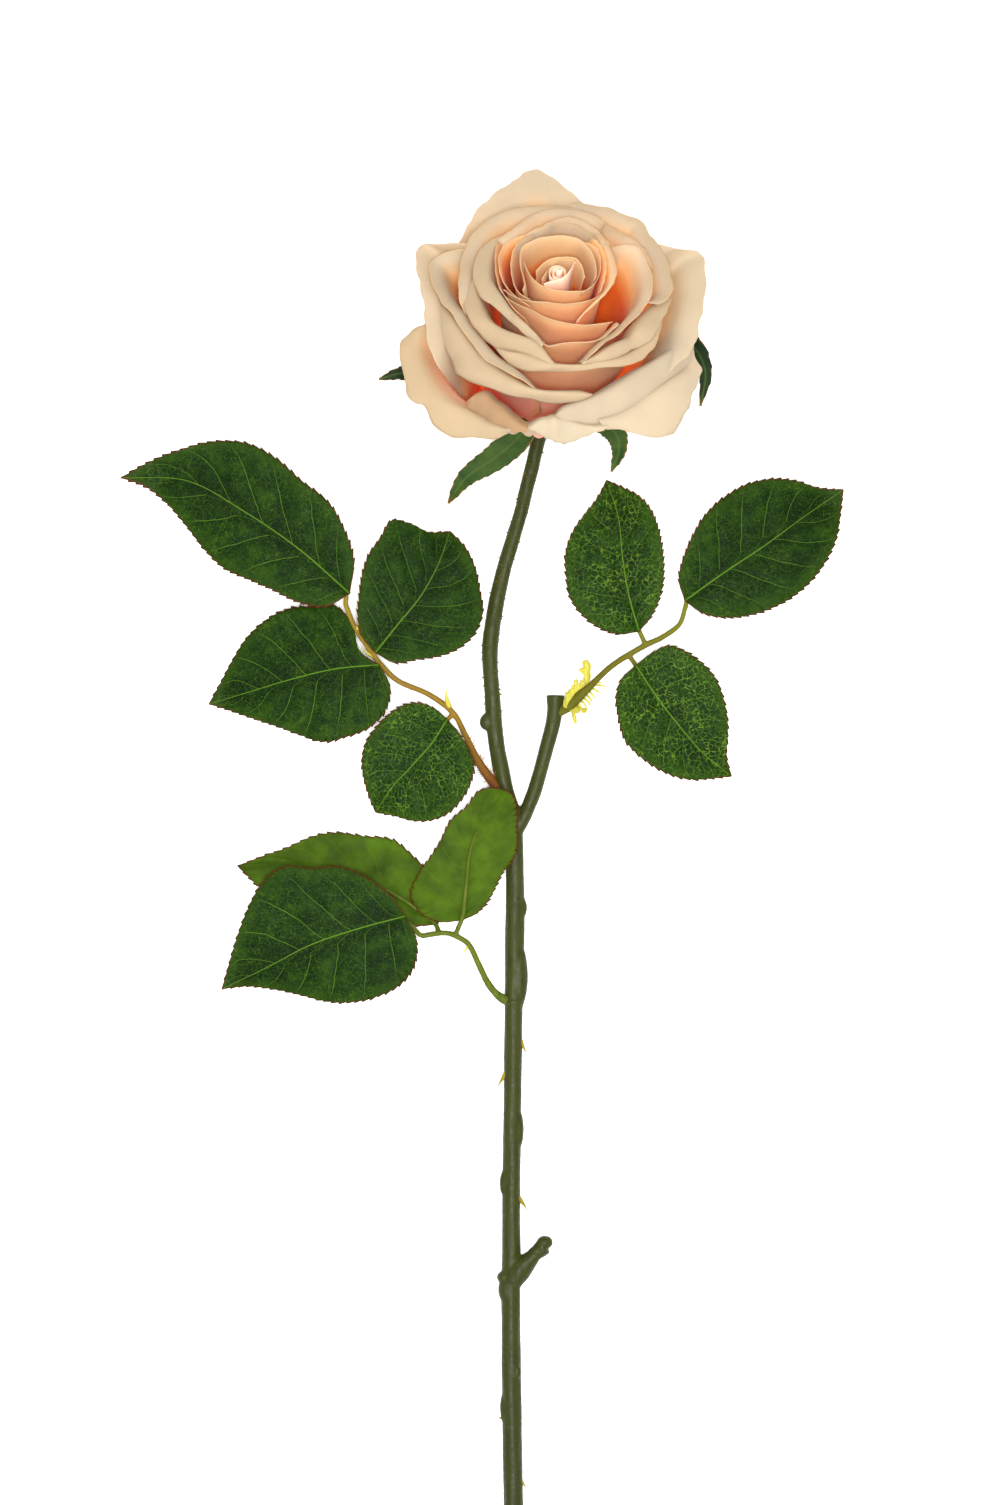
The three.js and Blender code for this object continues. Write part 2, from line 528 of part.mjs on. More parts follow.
function leaflet(leaf) {
  const rows = 2 * leaf.teeth;
  const grid = [];
  for (let i = 0; i <= rows; i += 1) {
    const notch = i % 2 ? 0 : TOOTH_DEPTH;
    const row = [-1, -0.5, 0, 0.5, 1].map((t) => {
      const p = leafPoint(leaf, i / rows, t, Math.abs(t) === 1 ? notch : notch / 2);
      p.z = Math.max(p.z, LEAF_THICKNESS / 2);
      return p;
    });
    grid.push(row);
  }
  return plate(grid, LEAF_THICKNESS, point(0, 0, 1));
}

function leaflets() {
  const group = new THREE.Group();
  for (const leaf of LEAFLETS) {
    const colour = leaf.turned ? COLOURS.leafBack : COLOURS.leaf;
    const mesh = new THREE.Mesh(leaflet(leaf), material(colour, 0.6));
    mesh.name = leaf.name;
    group.add(mesh);
  }
  return group;
}

// Leaf frames: petiole, rachis, stipules and the rib under each leaflet

const LEAF_FRAMES = [
  { name: 'leaf_frame_left', leaflets: [0, 1, 2, 3], radii: [[0, 1.9], [0.16, 1.5], [0.3, 1], [1, 0.8]],
    line: [[7, 42.5, 3], [3.2, 46.2, 3.6], [-1.5, 53, 6.2], [-5.5, 61, 8.8], [-9.8, 69, 10.8],
      [-18, 75.2, 11.2], [-28, 79.6, 10.8], [-33.8, 85, 10.4], [-39, 92, 10.2], [-43, 98.5, 9.8],
      [-45.6, 105, 9.7]],
    stipules: [[[-11.2, 71, 11], [-11.9, 77.5, 12.6], 1], [[-36, 87.6, 10.2], [-40.8, 91.8, 10.4], 0.9],
      [[-42, 96.5, 10], [-40.4, 101.5, 11], 0.8]] },
  { name: 'leaf_frame_right', leaflets: [4, 5, 6], radii: [[0, 2.6], [0.2, 2], [0.35, 1.1], [1, 0.85]],
    line: [[24.5, 68, 5], [29, 71.5, 6], [35, 77, 8], [43, 84.6, 10.2], [53.8, 91.3, 11.2],
      [59.5, 94, 11.2], [65.5, 98.3, 10.8], [67.6, 104, 10.6]],
    stipules: [[[31, 74, 7], [34.5, 86.5, 10.5], 1.7], [[31, 72, 7], [31, 65.5, 8.5], 1.6],
      [[35, 78, 8], [41, 77.5, 9.5], 1.1], [[33, 77, 8], [28.5, 80.5, 9.5], 1.1]] },
  { name: 'leaf_frame_low', leaflets: [7, 8, 9], radii: [[0, 2], [0.2, 1.2], [0.45, 1], [1, 0.9]],
    line: [[9.5, -27.5, 3.6], [5.5, -25.6, 4.6], [2, -21.5, 6.4], [-1, -15.5, 8.4], [-4.5, -8.4, 9.8],
      [-9.2, -5.3, 10.4], [-13.2, -4.4, 10.6], [-20.5, -5.4, 11.6]],
    stipules: [[[-4.6, -8.6, 9.8], [-7.4, -12.2, 10.4], 0.7]] },
];
const RIB_STEPS = 5;
const RIB_START = 0.03; // share of the leaflet where its rib begins to follow it
const SEARCH_STEPS = 60;

function nearest(line, target) {
  // Place on a curve nearest to a point, in the plan
  let best = null;
  for (let i = 0; i <= SEARCH_STEPS; i += 1) {
    const place = line.getPoint(i / SEARCH_STEPS);
    const far = Math.hypot(place.x - target.x, place.y - target.y);
    if (!best || far < best.far) best = { place, far };
  }
  return best.place;
}

function rib(leaf, line) {
  // From the rachis to the foot of the leaflet, then along the back of its midrib
  const clear = BLADE / 2 + GAP + RIB_RADIUS;
  const offset = leaf.turned ? clear : -clear;
  const path = [nearest(line, leafMiddle(leaf, 0))];
  for (let i = 0; i <= RIB_STEPS; i += 1) {
    path.push(leafMiddle(leaf, RIB_START + (RIB_REACH * i) / RIB_STEPS).add(point(0, 0, offset)));
  }
  return tube(path, taper(RIB_RADIUS, RIB_RADIUS * 0.6), 5, 9);
}

function leafFrame(frame, stemSpace) {
  const path = frame.line.map((p) => point(...p));
  const line = new THREE.CatmullRomCurve3(path, false, 'catmullrom', 0.5);
  const parts = [tube(path, (share) => valueAt(frame.radii, share), 6, 2 * path.length)];
  frame.leaflets.forEach((index) => parts.push(rib(LEAFLETS[index], line)));
  frame.stipules.forEach((stipule) => parts.push(thorn(stipule)));
  const mesh = new THREE.Mesh(geometryOf(joined(parts).subtract(stemSpace)), material(COLOURS.rachis, 0.45));
  mesh.name = frame.name;
  return mesh;
}

function leafFrames() {
  const group = new THREE.Group();
  const stemSpace = stemBody(GAP).add(joined(KNOTS.map(([centre, halves]) => knot([centre,
    halves.map((half) => half + GAP)]))));
  LEAF_FRAMES.forEach((frame) => group.add(leafFrame(frame, stemSpace)));
  return group;
}

const rose = new THREE.Group();
rose.name = 'cut_rose';
rose.add(stem(), calyx(), budCore(), petals(), leafFrames(), leaflets());

export default rose;
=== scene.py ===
"""An artificial cut rose, lying on a pale table and seen from straight above.

Lengths in the tables are millimetres; every Blender object is in metres. +Y runs from the
cut end of the stem to the bloom, +Z is up, and z = 0 is the table.
"""

import math

import bpy
import numpy as np
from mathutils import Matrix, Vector, noise

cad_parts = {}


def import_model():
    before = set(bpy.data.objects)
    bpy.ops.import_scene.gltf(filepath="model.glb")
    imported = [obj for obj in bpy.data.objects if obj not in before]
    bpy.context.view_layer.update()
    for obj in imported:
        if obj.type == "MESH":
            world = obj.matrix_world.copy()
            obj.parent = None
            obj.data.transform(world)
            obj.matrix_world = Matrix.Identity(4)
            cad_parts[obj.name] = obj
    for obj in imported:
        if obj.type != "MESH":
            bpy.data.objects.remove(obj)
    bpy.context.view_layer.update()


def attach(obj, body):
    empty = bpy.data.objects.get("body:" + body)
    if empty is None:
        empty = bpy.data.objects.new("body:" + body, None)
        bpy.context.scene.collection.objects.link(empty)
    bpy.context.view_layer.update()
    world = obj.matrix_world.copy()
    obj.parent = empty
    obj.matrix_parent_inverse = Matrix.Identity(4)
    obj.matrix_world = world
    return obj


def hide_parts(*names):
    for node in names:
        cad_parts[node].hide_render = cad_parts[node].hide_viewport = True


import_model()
MM = 0.001
RANDOM = np.random.default_rng(11)


# Numbers shared with the CAD

BLOOM_RISE = math.radians(52)
BLOOM_LEAN = math.radians(6)
BLOOM_BASE = np.array([21.2, 177.3, 19.7])
HIP_DEPTH = 16
NECK_GAP = 0.6
NECK_RADIUS = 10.8

# Petal profiles from claw to rim (radius, height) for layers 1, 4 and 7
BUD_PROFILE = [(3.4, -0.6), (4.5, 12), (5.5, 32), (6.3, 50), (7, 60), (7.9, 62.4), (8.3, 62.2)]
MIDDLE_PROFILE = [(7.6, -2.9), (12, 8.5), (16, 26), (18.8, 45), (21.6, 55), (24.8, 57.6), (26.4, 56.6)]
GUARD_PROFILE = [(11, -5.6), (22.3, 5), (30, 19), (35.2, 33), (40.8, 41.6), (46.6, 43.2), (51, 41.8)]

# Petals: piece, cloth, wanted layers at the first end, the middle and the last end, what differs
# from the defaults of petal(), then the crest and the turned-back edge as (x, y) seen by the
# camera, in the order of rising azimuth
PETALS = [
    ("guard_1", "guard", (8.2, 7.4, 7.2), {"targets": (0.5, 0.9, 0.85)},
     [(55.8, 177.3), (60.5, 181), (64.8, 184.3), (68.2, 187.3), (69.8, 190), (71.5, 194), (72.5, 198.3),
      (73.5, 203.3), (74.2, 208.3), (74.5, 213.3), (74.2, 218), (73.2, 221), (71.2, 223), (67.2, 223.7),
      (63.2, 224), (58.2, 225.7)], None),
    ("guard_2", "guard", (7.2, 7.4, 7.2), {"firm": 5, "targets": (0.8, 1, 0.7), "lift": 3},
     [(35.2, 238.3), (30.8, 242), (27.2, 244.7), (23.2, 247.7), (20.2, 249.7), (17.5, 250.3), (14.8, 249.7),
      (11.8, 248), (9.2, 246), (5.8, 244), (2.5, 240.7), (-0.8, 238), (-3.8, 234.3), (-5.5, 230.3),
      (-7.5, 226.3)], None),
    ("guard_3", "guard", (7.2, 7.2, 8.6), {"targets": (0.9, 0.9, 0.5)},
     [(-7.2, 226), (-11.5, 225.7), (-16.2, 225.3), (-20.5, 225.3), (-22.2, 222.7), (-21.8, 218.7),
      (-21.2, 214), (-20.5, 209.3), (-19.5, 204), (-18.8, 198.7), (-18.2, 193.3), (-16.8, 188),
      (-13.8, 183), (-10.2, 178)], None),
    ("guard_4", "blush", (7.8, 8.1, 7.9), {"droop": 0.5},
     [(-18.8, 199.3), (-21.5, 191.7), (-19.5, 182.7), (-15.5, 176), (-10.2, 172), (-4.2, 168.7),
      (1.8, 165.3), (7.2, 163.3)],
     [(-19.2, 198.3), (-22.8, 196.7), (-26.2, 193.7), (-27.8, 191), (-27.5, 186.7), (-26.5, 181),
      (-24.8, 175), (-22.5, 172.3), (-19.5, 171.7), (-18.2, 167.7), (-15.5, 163.7), (-10.8, 161),
      (-4.2, 160.7), (2.5, 160.3), (6.8, 161.3), (9.5, 163)]),
    ("guard_5", "guard", (7.4, 7.5, 7.6), {"droop": 0.5},
     [(15.2, 163.7), (19.2, 166), (23.2, 166.7), (27.5, 166.3), (32.5, 164.7), (37.5, 164), (41.2, 164.7)],
     [(15.2, 163.3), (18.2, 162.3), (21.2, 160.7), (24.5, 159.7), (27.8, 159), (31.5, 159.7), (35.8, 161.3),
      (40.2, 163.3), (41.2, 164.3)]),
    ("guard_6", "guard", (7.7, 8, 7.7), {"droop": 0.5},
     [(39.2, 166.7), (45.8, 168.7), (52.5, 172.7), (59.2, 176.7), (65.2, 181.3), (69.2, 186),
      (71.2, 189.3)],
     [(41.2, 164), (46.5, 163.7), (51.8, 162), (57.5, 161), (61.8, 161.3), (65.2, 163.7), (67.2, 167.3),
      (69.2, 170), (70.2, 174.7), (71.8, 178.7), (73.2, 182.7), (72.2, 184.7), (69.2, 188)]),
    ("lobe", "tan", (7.2, 7.2, 7.2), {"droop": 0.5},
     [(-4.8, 173), (-2.8, 174.7), (-0.2, 175.3), (2.5, 173.3), (5.8, 171), (8.5, 168.7), (11.2, 166.3),
      (13.8, 164.7), (15.8, 164)],
     [(-5.2, 171.7), (-4.5, 169.7), (-2.8, 167.7), (-0.8, 165.7), (1.5, 164.3), (4.8, 163.3), (9.2, 163),
      (13.2, 163), (15.8, 163.7)]),
    ("outer_1", "outer", (6.2, 6.3, 6.4), {"targets": (0.9, 0.9, 0.9)},
     [(59.2, 205.3), (61.8, 207.3), (63.5, 210), (63.2, 213.3), (62.2, 218), (60.5, 222.3), (57.8, 226),
      (55.5, 228.7), (53.8, 231.7), (52.5, 233.3), (49.2, 234.3), (45.2, 236), (41.2, 237.7), (37.2, 238.3),
      (33.5, 239), (29.8, 238.3)], None),
    ("outer_2", "outer", (5.2, 5.3, 5.5), {"firm": 2, "targets": (0.9, 0.9, 0.6)},
     [(29.8, 237), (24.2, 237.7), (18.5, 238), (12.5, 237.3), (7.5, 236.3), (3.2, 234.3), (-0.8, 231.3),
      (-3.8, 227.7), (-5.8, 223.7), (-7.2, 219.3), (-7.5, 215), (-7.8, 210.7), (-7.5, 206.7), (-6.5, 203.3),
      (-4.8, 200)], None),
    ("outer_3", "outer", (6.5, 6.5, 6.3), {"targets": (0.8, 0.85, 0.7)},
     [(-6.2, 223.3), (-10.2, 223), (-13.8, 221.7), (-17.2, 220), (-18.2, 217.3), (-17.5, 213.3),
      (-15.8, 209.3), (-13.8, 206), (-10.8, 203), (-7.5, 198), (-3.8, 192.3), (0.8, 187.3), (5.8, 183.7),
      (10.8, 181), (15.2, 178.7), (18.2, 177)], None),
    ("outer_4", "wall", (6.9, 6.9, 6.8), {"droop": 0.45},
     [(-15.5, 206.3), (-12.2, 203.7), (-8.8, 199), (-5.2, 193), (-0.5, 187.7), (4.8, 183.3), (9.8, 180.3),
      (14.8, 177.7), (20.8, 176.3), (27.5, 176), (32.5, 175.7), (36.5, 175)],
     [(-16.2, 206), (-16.8, 203), (-15.8, 198), (-13.5, 192), (-10.8, 186.3), (-8.8, 182), (-5.5, 179.7),
      (-0.8, 178), (5.8, 176.3), (10.8, 174.7), (16.5, 174), (19.8, 172.7), (25.8, 172.3), (31.5, 172.7),
      (36.5, 174.3)]),
    ("outer_5", "guard", (7, 7.2, 7.1), {"droop": 0.35},
     [(24.5, 168.3), (27.2, 170.3), (31.5, 172), (36.2, 173.7), (41.2, 176.3), (46.2, 179.3), (51.2, 182.3),
      (56.2, 185), (61.2, 188), (65.8, 191.3), (69.2, 194.3)],
     [(24.8, 168), (26.8, 166.3), (31.5, 164.3), (36.5, 164.3), (41.5, 165.3), (46.5, 167.3), (51.5, 169.7),
      (56.5, 172.3), (61.2, 174.7), (65.8, 178.7), (69.2, 184.7), (70.5, 191.3)]),
    ("cup_1", "cup", (5.7, 5.9, 5.9), {"droop": 0.35},
     [(5.5, 190.3), (9.2, 189.3), (13.8, 188.7), (19.2, 186.7), (23.5, 185.3), (28.5, 185), (33.2, 185),
      (37.8, 185.7), (42.5, 186.7), (47.5, 188.3), (52.5, 191), (56.2, 193), (57.8, 195.7), (59.2, 200)],
     [(4.8, 190), (6.8, 187.3), (9.2, 184.7), (11.8, 183.3), (15.2, 182.7), (20.8, 182.7), (25.8, 182.7),
      (32.5, 183), (39.2, 183.7), (45.2, 184.3), (50.2, 185.3), (52.8, 187), (55.5, 189.3), (57.8, 191.7),
      (59.5, 195.7), (60.2, 200)]),
    ("cup_2", "cup", (5.4, 5.4, 5.5), {"droop": 0.4},
     [(-2.8, 213.7), (-2.2, 210), (-0.8, 206.3), (0.5, 202.7), (2.5, 199.7), (5.5, 197.7), (9.2, 196),
      (13.2, 194.7), (16.5, 193.3), (19.5, 191), (21.8, 188), (23.8, 185.7)],
     [(-3.8, 213.3), (-6.5, 210.3), (-6.8, 207.3), (-5.8, 203.3), (-3.5, 199), (-0.5, 195), (2.8, 191.7),
      (6.2, 189.3), (9.8, 189), (13.8, 188.3), (18.5, 186.7), (23.5, 185)]),
    ("cup_3", "cup", (5, 5.3, 5.2), {"targets": (0.55, 0.9, 0.9)},
     [(43.8, 229), (41.8, 232), (38.5, 234.3), (33.5, 236), (28.2, 236.7), (23.5, 237), (19.5, 236.3),
      (15.8, 234.7), (12.5, 232.3), (8.5, 229.7), (4.8, 227.3)], None),
    ("cup_4", "cup", (5.9, 5.5, 5.6), {"firm": 3, "targets": (0.7, 0.9, 0.7)},
     [(56.8, 217.3), (55.8, 220), (54.2, 223), (51.8, 225.7), (47.8, 228.7), (43.5, 231.3), (40.2, 233),
      (37.2, 233.7)], None),
    ("cup_5", "cup", (5.3, 5, 4.7), {"firm": 4, "targets": (0.8, 0.85, 0.7)},
     [(34.5, 186.3), (38.2, 190), (41.8, 193.3), (45.8, 196), (49.8, 199.7), (53.2, 203), (55.8, 206.7),
      (56.8, 211), (56.2, 215), (55.2, 218.7), (53.8, 222), (51.8, 224.3), (47.8, 225), (43.2, 224.3),
      (39.8, 223.3), (37.5, 222)], None),
    ("mid_right", "cup", (5.2, 5.3, 5.4), {},
     [(35.2, 186.3), (39.8, 189), (43.2, 191), (46.5, 192.7), (49.2, 194.3), (51.5, 197.7), (54.2, 201.7),
      (57.5, 205.3), (60.2, 207.7)],
     [(33.8, 185.3), (38.5, 186), (43.2, 187), (46.5, 188), (49.8, 189.7), (53.5, 191), (56.5, 193.3),
      (58.5, 197.3), (60.5, 201.3), (62.5, 205.3), (62.8, 208)]),
    ("mid_left", "cup", (4.7, 4.6, 4.6), {"droop": 0.35},
     [(6.5, 227.3), (3.8, 224.7), (2.5, 221.3), (2.2, 217.3), (2.8, 213.7), (4.8, 210.3), (6.8, 207.3),
      (9.2, 203.7), (12.2, 200.3), (15.5, 197.3), (18.2, 194.7), (19.8, 192)],
     [(5.8, 228), (1.8, 226), (-1.2, 223.3), (-2.8, 220.7), (-3.5, 217), (-2.8, 213.3), (-1.5, 209.7),
      (0.5, 206.7), (3.5, 205), (6.5, 202), (9.8, 198.7), (13.8, 195), (17.2, 193), (19.5, 191.3)]),
    ("middle_1", "front", (4.2, 4.3, 4.3), {},
     [(9.5, 201), (11.8, 199), (14.5, 197.3), (17.5, 195.3), (19.5, 192.7), (21.8, 191.3), (25.8, 192.3),
      (30.8, 193), (35.8, 193), (39.5, 193.7), (42.8, 195.7), (45.8, 198.3)], None),
    ("middle_2", "middle", (3.9, 3.8, 4), {"targets": (0.72, 0.75, 0.62)},
     [(32.8, 201), (34.8, 203.3), (37.8, 206.3), (40.5, 209), (42.2, 212), (42.8, 216), (42.2, 219.3),
      (41.2, 222.7), (39.8, 225.7), (38.2, 228), (35.8, 229.3), (33.2, 230)],
     [(31.8, 199), (34.8, 202.7), (38.5, 206), (41.5, 209), (43.5, 211.7), (44.8, 215), (44.5, 218.3),
      (43.5, 221.7), (41.5, 225), (39.2, 228), (36.2, 229.7), (33.2, 230.3)]),
    ("middle_3", "cup", (4.4, 4.4, 4.3), {"targets": (0.6, 0.8, 0.72)},
     [(43.5, 221.3), (41.8, 225.7), (38.2, 230.3), (34.2, 233), (29.8, 234.3), (25.8, 234), (22.5, 233),
      (19.2, 231.3), (15.8, 229.7), (12.8, 227.3)], None),
    ("middle_4", "middle", (3.9, 3.8, 3.7), {},
     [(13.8, 228.3), (11.5, 229), (8.8, 228.7), (6.5, 227.3), (4.8, 225.3), (4.2, 222.3), (4.2, 219),
      (4.5, 215.7), (5.2, 212.3), (6.5, 209.7), (8.5, 206.7), (10.8, 203.7), (13.5, 201.3)], None),
    ("inner_1", "front", (3.4, 3.4, 3.4), {},
     [(5.5, 211), (7.2, 208.3), (9.5, 206.3), (12.8, 204.7), (16.5, 203.3), (20.2, 201.3), (24.5, 199.7),
      (29.2, 198.7), (34.2, 198.3), (39.2, 198.7), (43.2, 199.3)], None),
    ("inner_2", "middle", (2.9, 2.9, 3.1), {"targets": (0.72, 0.75, 0.6)},
     [(39.2, 209.3), (40.5, 213), (41.2, 216.7), (41.2, 220), (40.2, 223.3), (38.5, 226), (36.5, 227.3),
      (34.2, 227.7)], None),
    ("inner_3", "cup", (3.6, 3.6, 3.5), {},
     [(41.2, 219.3), (40.5, 223.3), (38.5, 226.7), (35.2, 229.3), (30.8, 231.7), (26.5, 232.3),
      (22.5, 231.3), (19.2, 229.7), (15.8, 228), (12.8, 226.3), (10.8, 224.3)], None),
    ("inner_4", "middle", (3.3, 3.3, 3.2), {},
     [(16.5, 228.7), (13.8, 228), (10.8, 227.3), (8.2, 225.7), (6.5, 223.7), (5.5, 221), (5.5, 217.7),
      (6.2, 214.3), (7.5, 211.7), (9.5, 209.3), (12.2, 207), (15.5, 204.7)], None),
    ("heart_1", "front", (2.5, 2.5, 2.6), {},
     [(6.8, 210), (9.5, 208.3), (12.8, 207), (16.8, 206.3), (21.2, 206), (25.5, 205.3), (29.8, 205.3),
      (34.2, 206), (37.8, 207.3), (40.5, 209.3)], None),
    ("heart_2", "inner", (2.1, 2.6, 3.2), {"firm": 4, "targets": (0.72, 0.7, 0.45)},
     [(33.5, 209.3), (35.8, 210.7), (37.5, 212.7), (38.8, 215), (39.5, 218), (39.2, 221.3), (38.2, 224),
      (35.8, 225.7), (33.2, 226.3), (30.8, 226)], None),
    ("heart_3", "inner", (2.8, 2.7, 2.6), {},
     [(19.2, 230), (16.2, 229.3), (13.2, 227.3), (10.8, 224.7), (9.8, 221.3), (9.5, 218), (9.8, 214.7),
      (10.8, 211.3), (12.8, 208.7), (15.5, 207)], None),
    ("heart_4", "inner", (2.2, 2, 1.9), {},
     [(37.8, 214.3), (37.8, 218), (36.8, 221.7), (34.8, 224.7), (31.8, 227), (27.8, 228), (24.2, 228),
      (20.8, 227.7), (17.5, 226.7), (14.5, 225.3), (12.8, 223.3), (12.5, 220.3), (12.8, 217.3),
      (13.8, 214.3), (14.2, 212), (13.5, 210)], None),
    ("bud_1", "front", (1.6, 1.5, 1.5), {},
     [(13.8, 219), (14.8, 216.7), (16.5, 214), (19.2, 211.7), (22.5, 210.3), (26.8, 209.7), (31.5, 209.7),
      (34.2, 210), (36.2, 211.3)], None),
    ("bud_2", "inner", (1.2, 1.1, 1.2), {},
     [(34.2, 214.3), (33.8, 216), (33.2, 218), (31.5, 220.3), (29.2, 221), (26.5, 221), (23.5, 220.7),
      (21.2, 219.7), (19.2, 218), (17.8, 216.3)], None),
    ("bud_3", "inner", (0.85, 0.8, 0.8), {},
     [(31.2, 219.3), (29.2, 220.3), (26.5, 220), (24.2, 219), (22.5, 217.7), (20.8, 215.3),
      (19.8, 213.7)], None),
    ("bud_4", "white", (0.6, 0.8, 0.9), {},
     [(20.5, 212), (22.2, 212.7), (24.5, 213.2), (26.8, 214), (28.5, 215.7), (29.8, 217.7),
      (30.8, 219.7)], None)]
EXTRA_FOLDS = ("mid_right", "mid_left", "lobe", "heart_4", "bud_4")  # cloth without a CAD petal

# Stem, side shoot and branch stub: middle lines, and radii by y or by share
STEM_LINE = [
    (10.3, -250), (10.3, -222), (10.3, -194), (9.7, -160), (9.5, -130), (9.7, -85), (10.2, -45),
    (10.7, -10), (10.8, 17), (10, 33), (7.2, 45), (4.5, 60), (3.2, 75), (2.5, 90), (4.5, 105),
    (8, 120), (12.5, 135), (16.2, 150), (18.7, 160)]
STEM_RADII = [(-250, 3.25), (-130, 3.25), (-85, 3.05), (-45, 3.05), (-5, 3.25), (30, 3.0),
              (60, 2.7), (105, 2.65), (132, 2.35), (175, 2.35)]
SHOOT_LINE = [(9.6, 27, 3), (13.2, 33, 3), (16.2, 40, 3.2), (18.6, 47, 3.5), (21, 56, 3.9),
              (23.2, 64, 4.3), (24.1, 70, 4.6), (24.3, 75, 4.8)]
SHOOT_RADII = [(0, 2.4), (0.5, 2.4), (0.85, 2.6), (1, 3.1)]
STUB_LINE = [(10, -121, 3.4), (13, -116.5, 3.8), (17, -112.5, 4.4), (20.6, -109, 4.9)]
STUB_RADII = [(0, 3.3), (0.25, 3.9), (0.45, 3.4), (0.72, 2.3), (0.85, 2.7), (1, 3.1)]
# Knots: middle and half sizes
KNOTS = [
    ((1.2, 66, 3), (2.2, 2.8, 2)), ((13.2, 4, 3.4), (1.6, 3.4, 1.7)), ((12.2, -19, 3.4), (3, 11, 2.9)),
    ((10.4, -27.6, 3.3), (3.7, 1.5, 3.2)), ((12, -70, 3.3), (1.9, 6.5, 2)),
    ((7.4, -88, 3.3), (1.7, 4.5, 2)), ((7, -119.4, 3.4), (2.3, 1.9, 2.6)),
    ((8.4, -123.6, 3.3), (3.1, 5, 3)), ((18.2, -110.8, 4.6), (2.9, 1.8, 2.8)),
    ((20.8, -107.8, 5), (2.8, 2.3, 2.6)),
    ((11.5, -151, 5.6), (1.4, 2.4, 1.2)), ((7.7, -163, 3.3), (1.9, 6, 1.9))]
# Thorns: foot, tip and radius
THORNS = [
    ((4.4, 75.5, 3.2), (7.4, 74.6, 3.6), 1), ((12.4, -40.5, 3.4), (14.9, -45.2, 3.6), 1.4),
    ((8, -51.5, 3.4), (4.6, -56.5, 3.6), 1.4), ((12.2, -93.5, 3.6), (15.4, -97.5, 3.8), 1.3),
    ((12.2, -187, 3.4), (15, -190.5, 3.5), 1.2), ((8, -168, 3.4), (4.9, -166, 3.5), 1.5),
    ((11.8, -228, 4.4), (14.6, -232, 5.4), 1.2)]

# Hip as (radius, height) on the bloom's axis, and sepals as middle line and half width
HIP_PROFILE = [(0.4, 0.6), (3.4, -1.15), (7.6, -3.45), (12.6, -7.9), (12.4, -8.9), (10.4, -11),
               (7, -13), (4.2, -14.6), (3.3, -16)]
SEPALS = [
    ([(17, 168.5, 11), (12, 161, 10), (4, 154, 8.5), (-5.5, 147.5, 6), (-11.5, 139, 2.5)], 4.6),
    ([(28.5, 170, 11.5), (37.5, 167.5, 13), (44, 162.5, 13), (45.5, 156.5, 11.5), (43, 149.5, 8.5)], 3.8),
    ([(15, 173.5, 10.5), (3, 175, 9.5), (-12, 178, 12), (-25, 182, 18), (-34.5, 180, 19.5)], 4),
    ([(27, 174.5, 10), (41, 179, 8), (56, 187, 12), (68, 192, 20), (74, 183, 23.5), (72.5, 171, 21)], 4.2),
    ([(20.8, 173, 9), (21.8, 183, 3.4), (23.4, 194, 2.4), (25, 208, 4), (27, 220, 5), (28, 229, 3)], 4.2)]

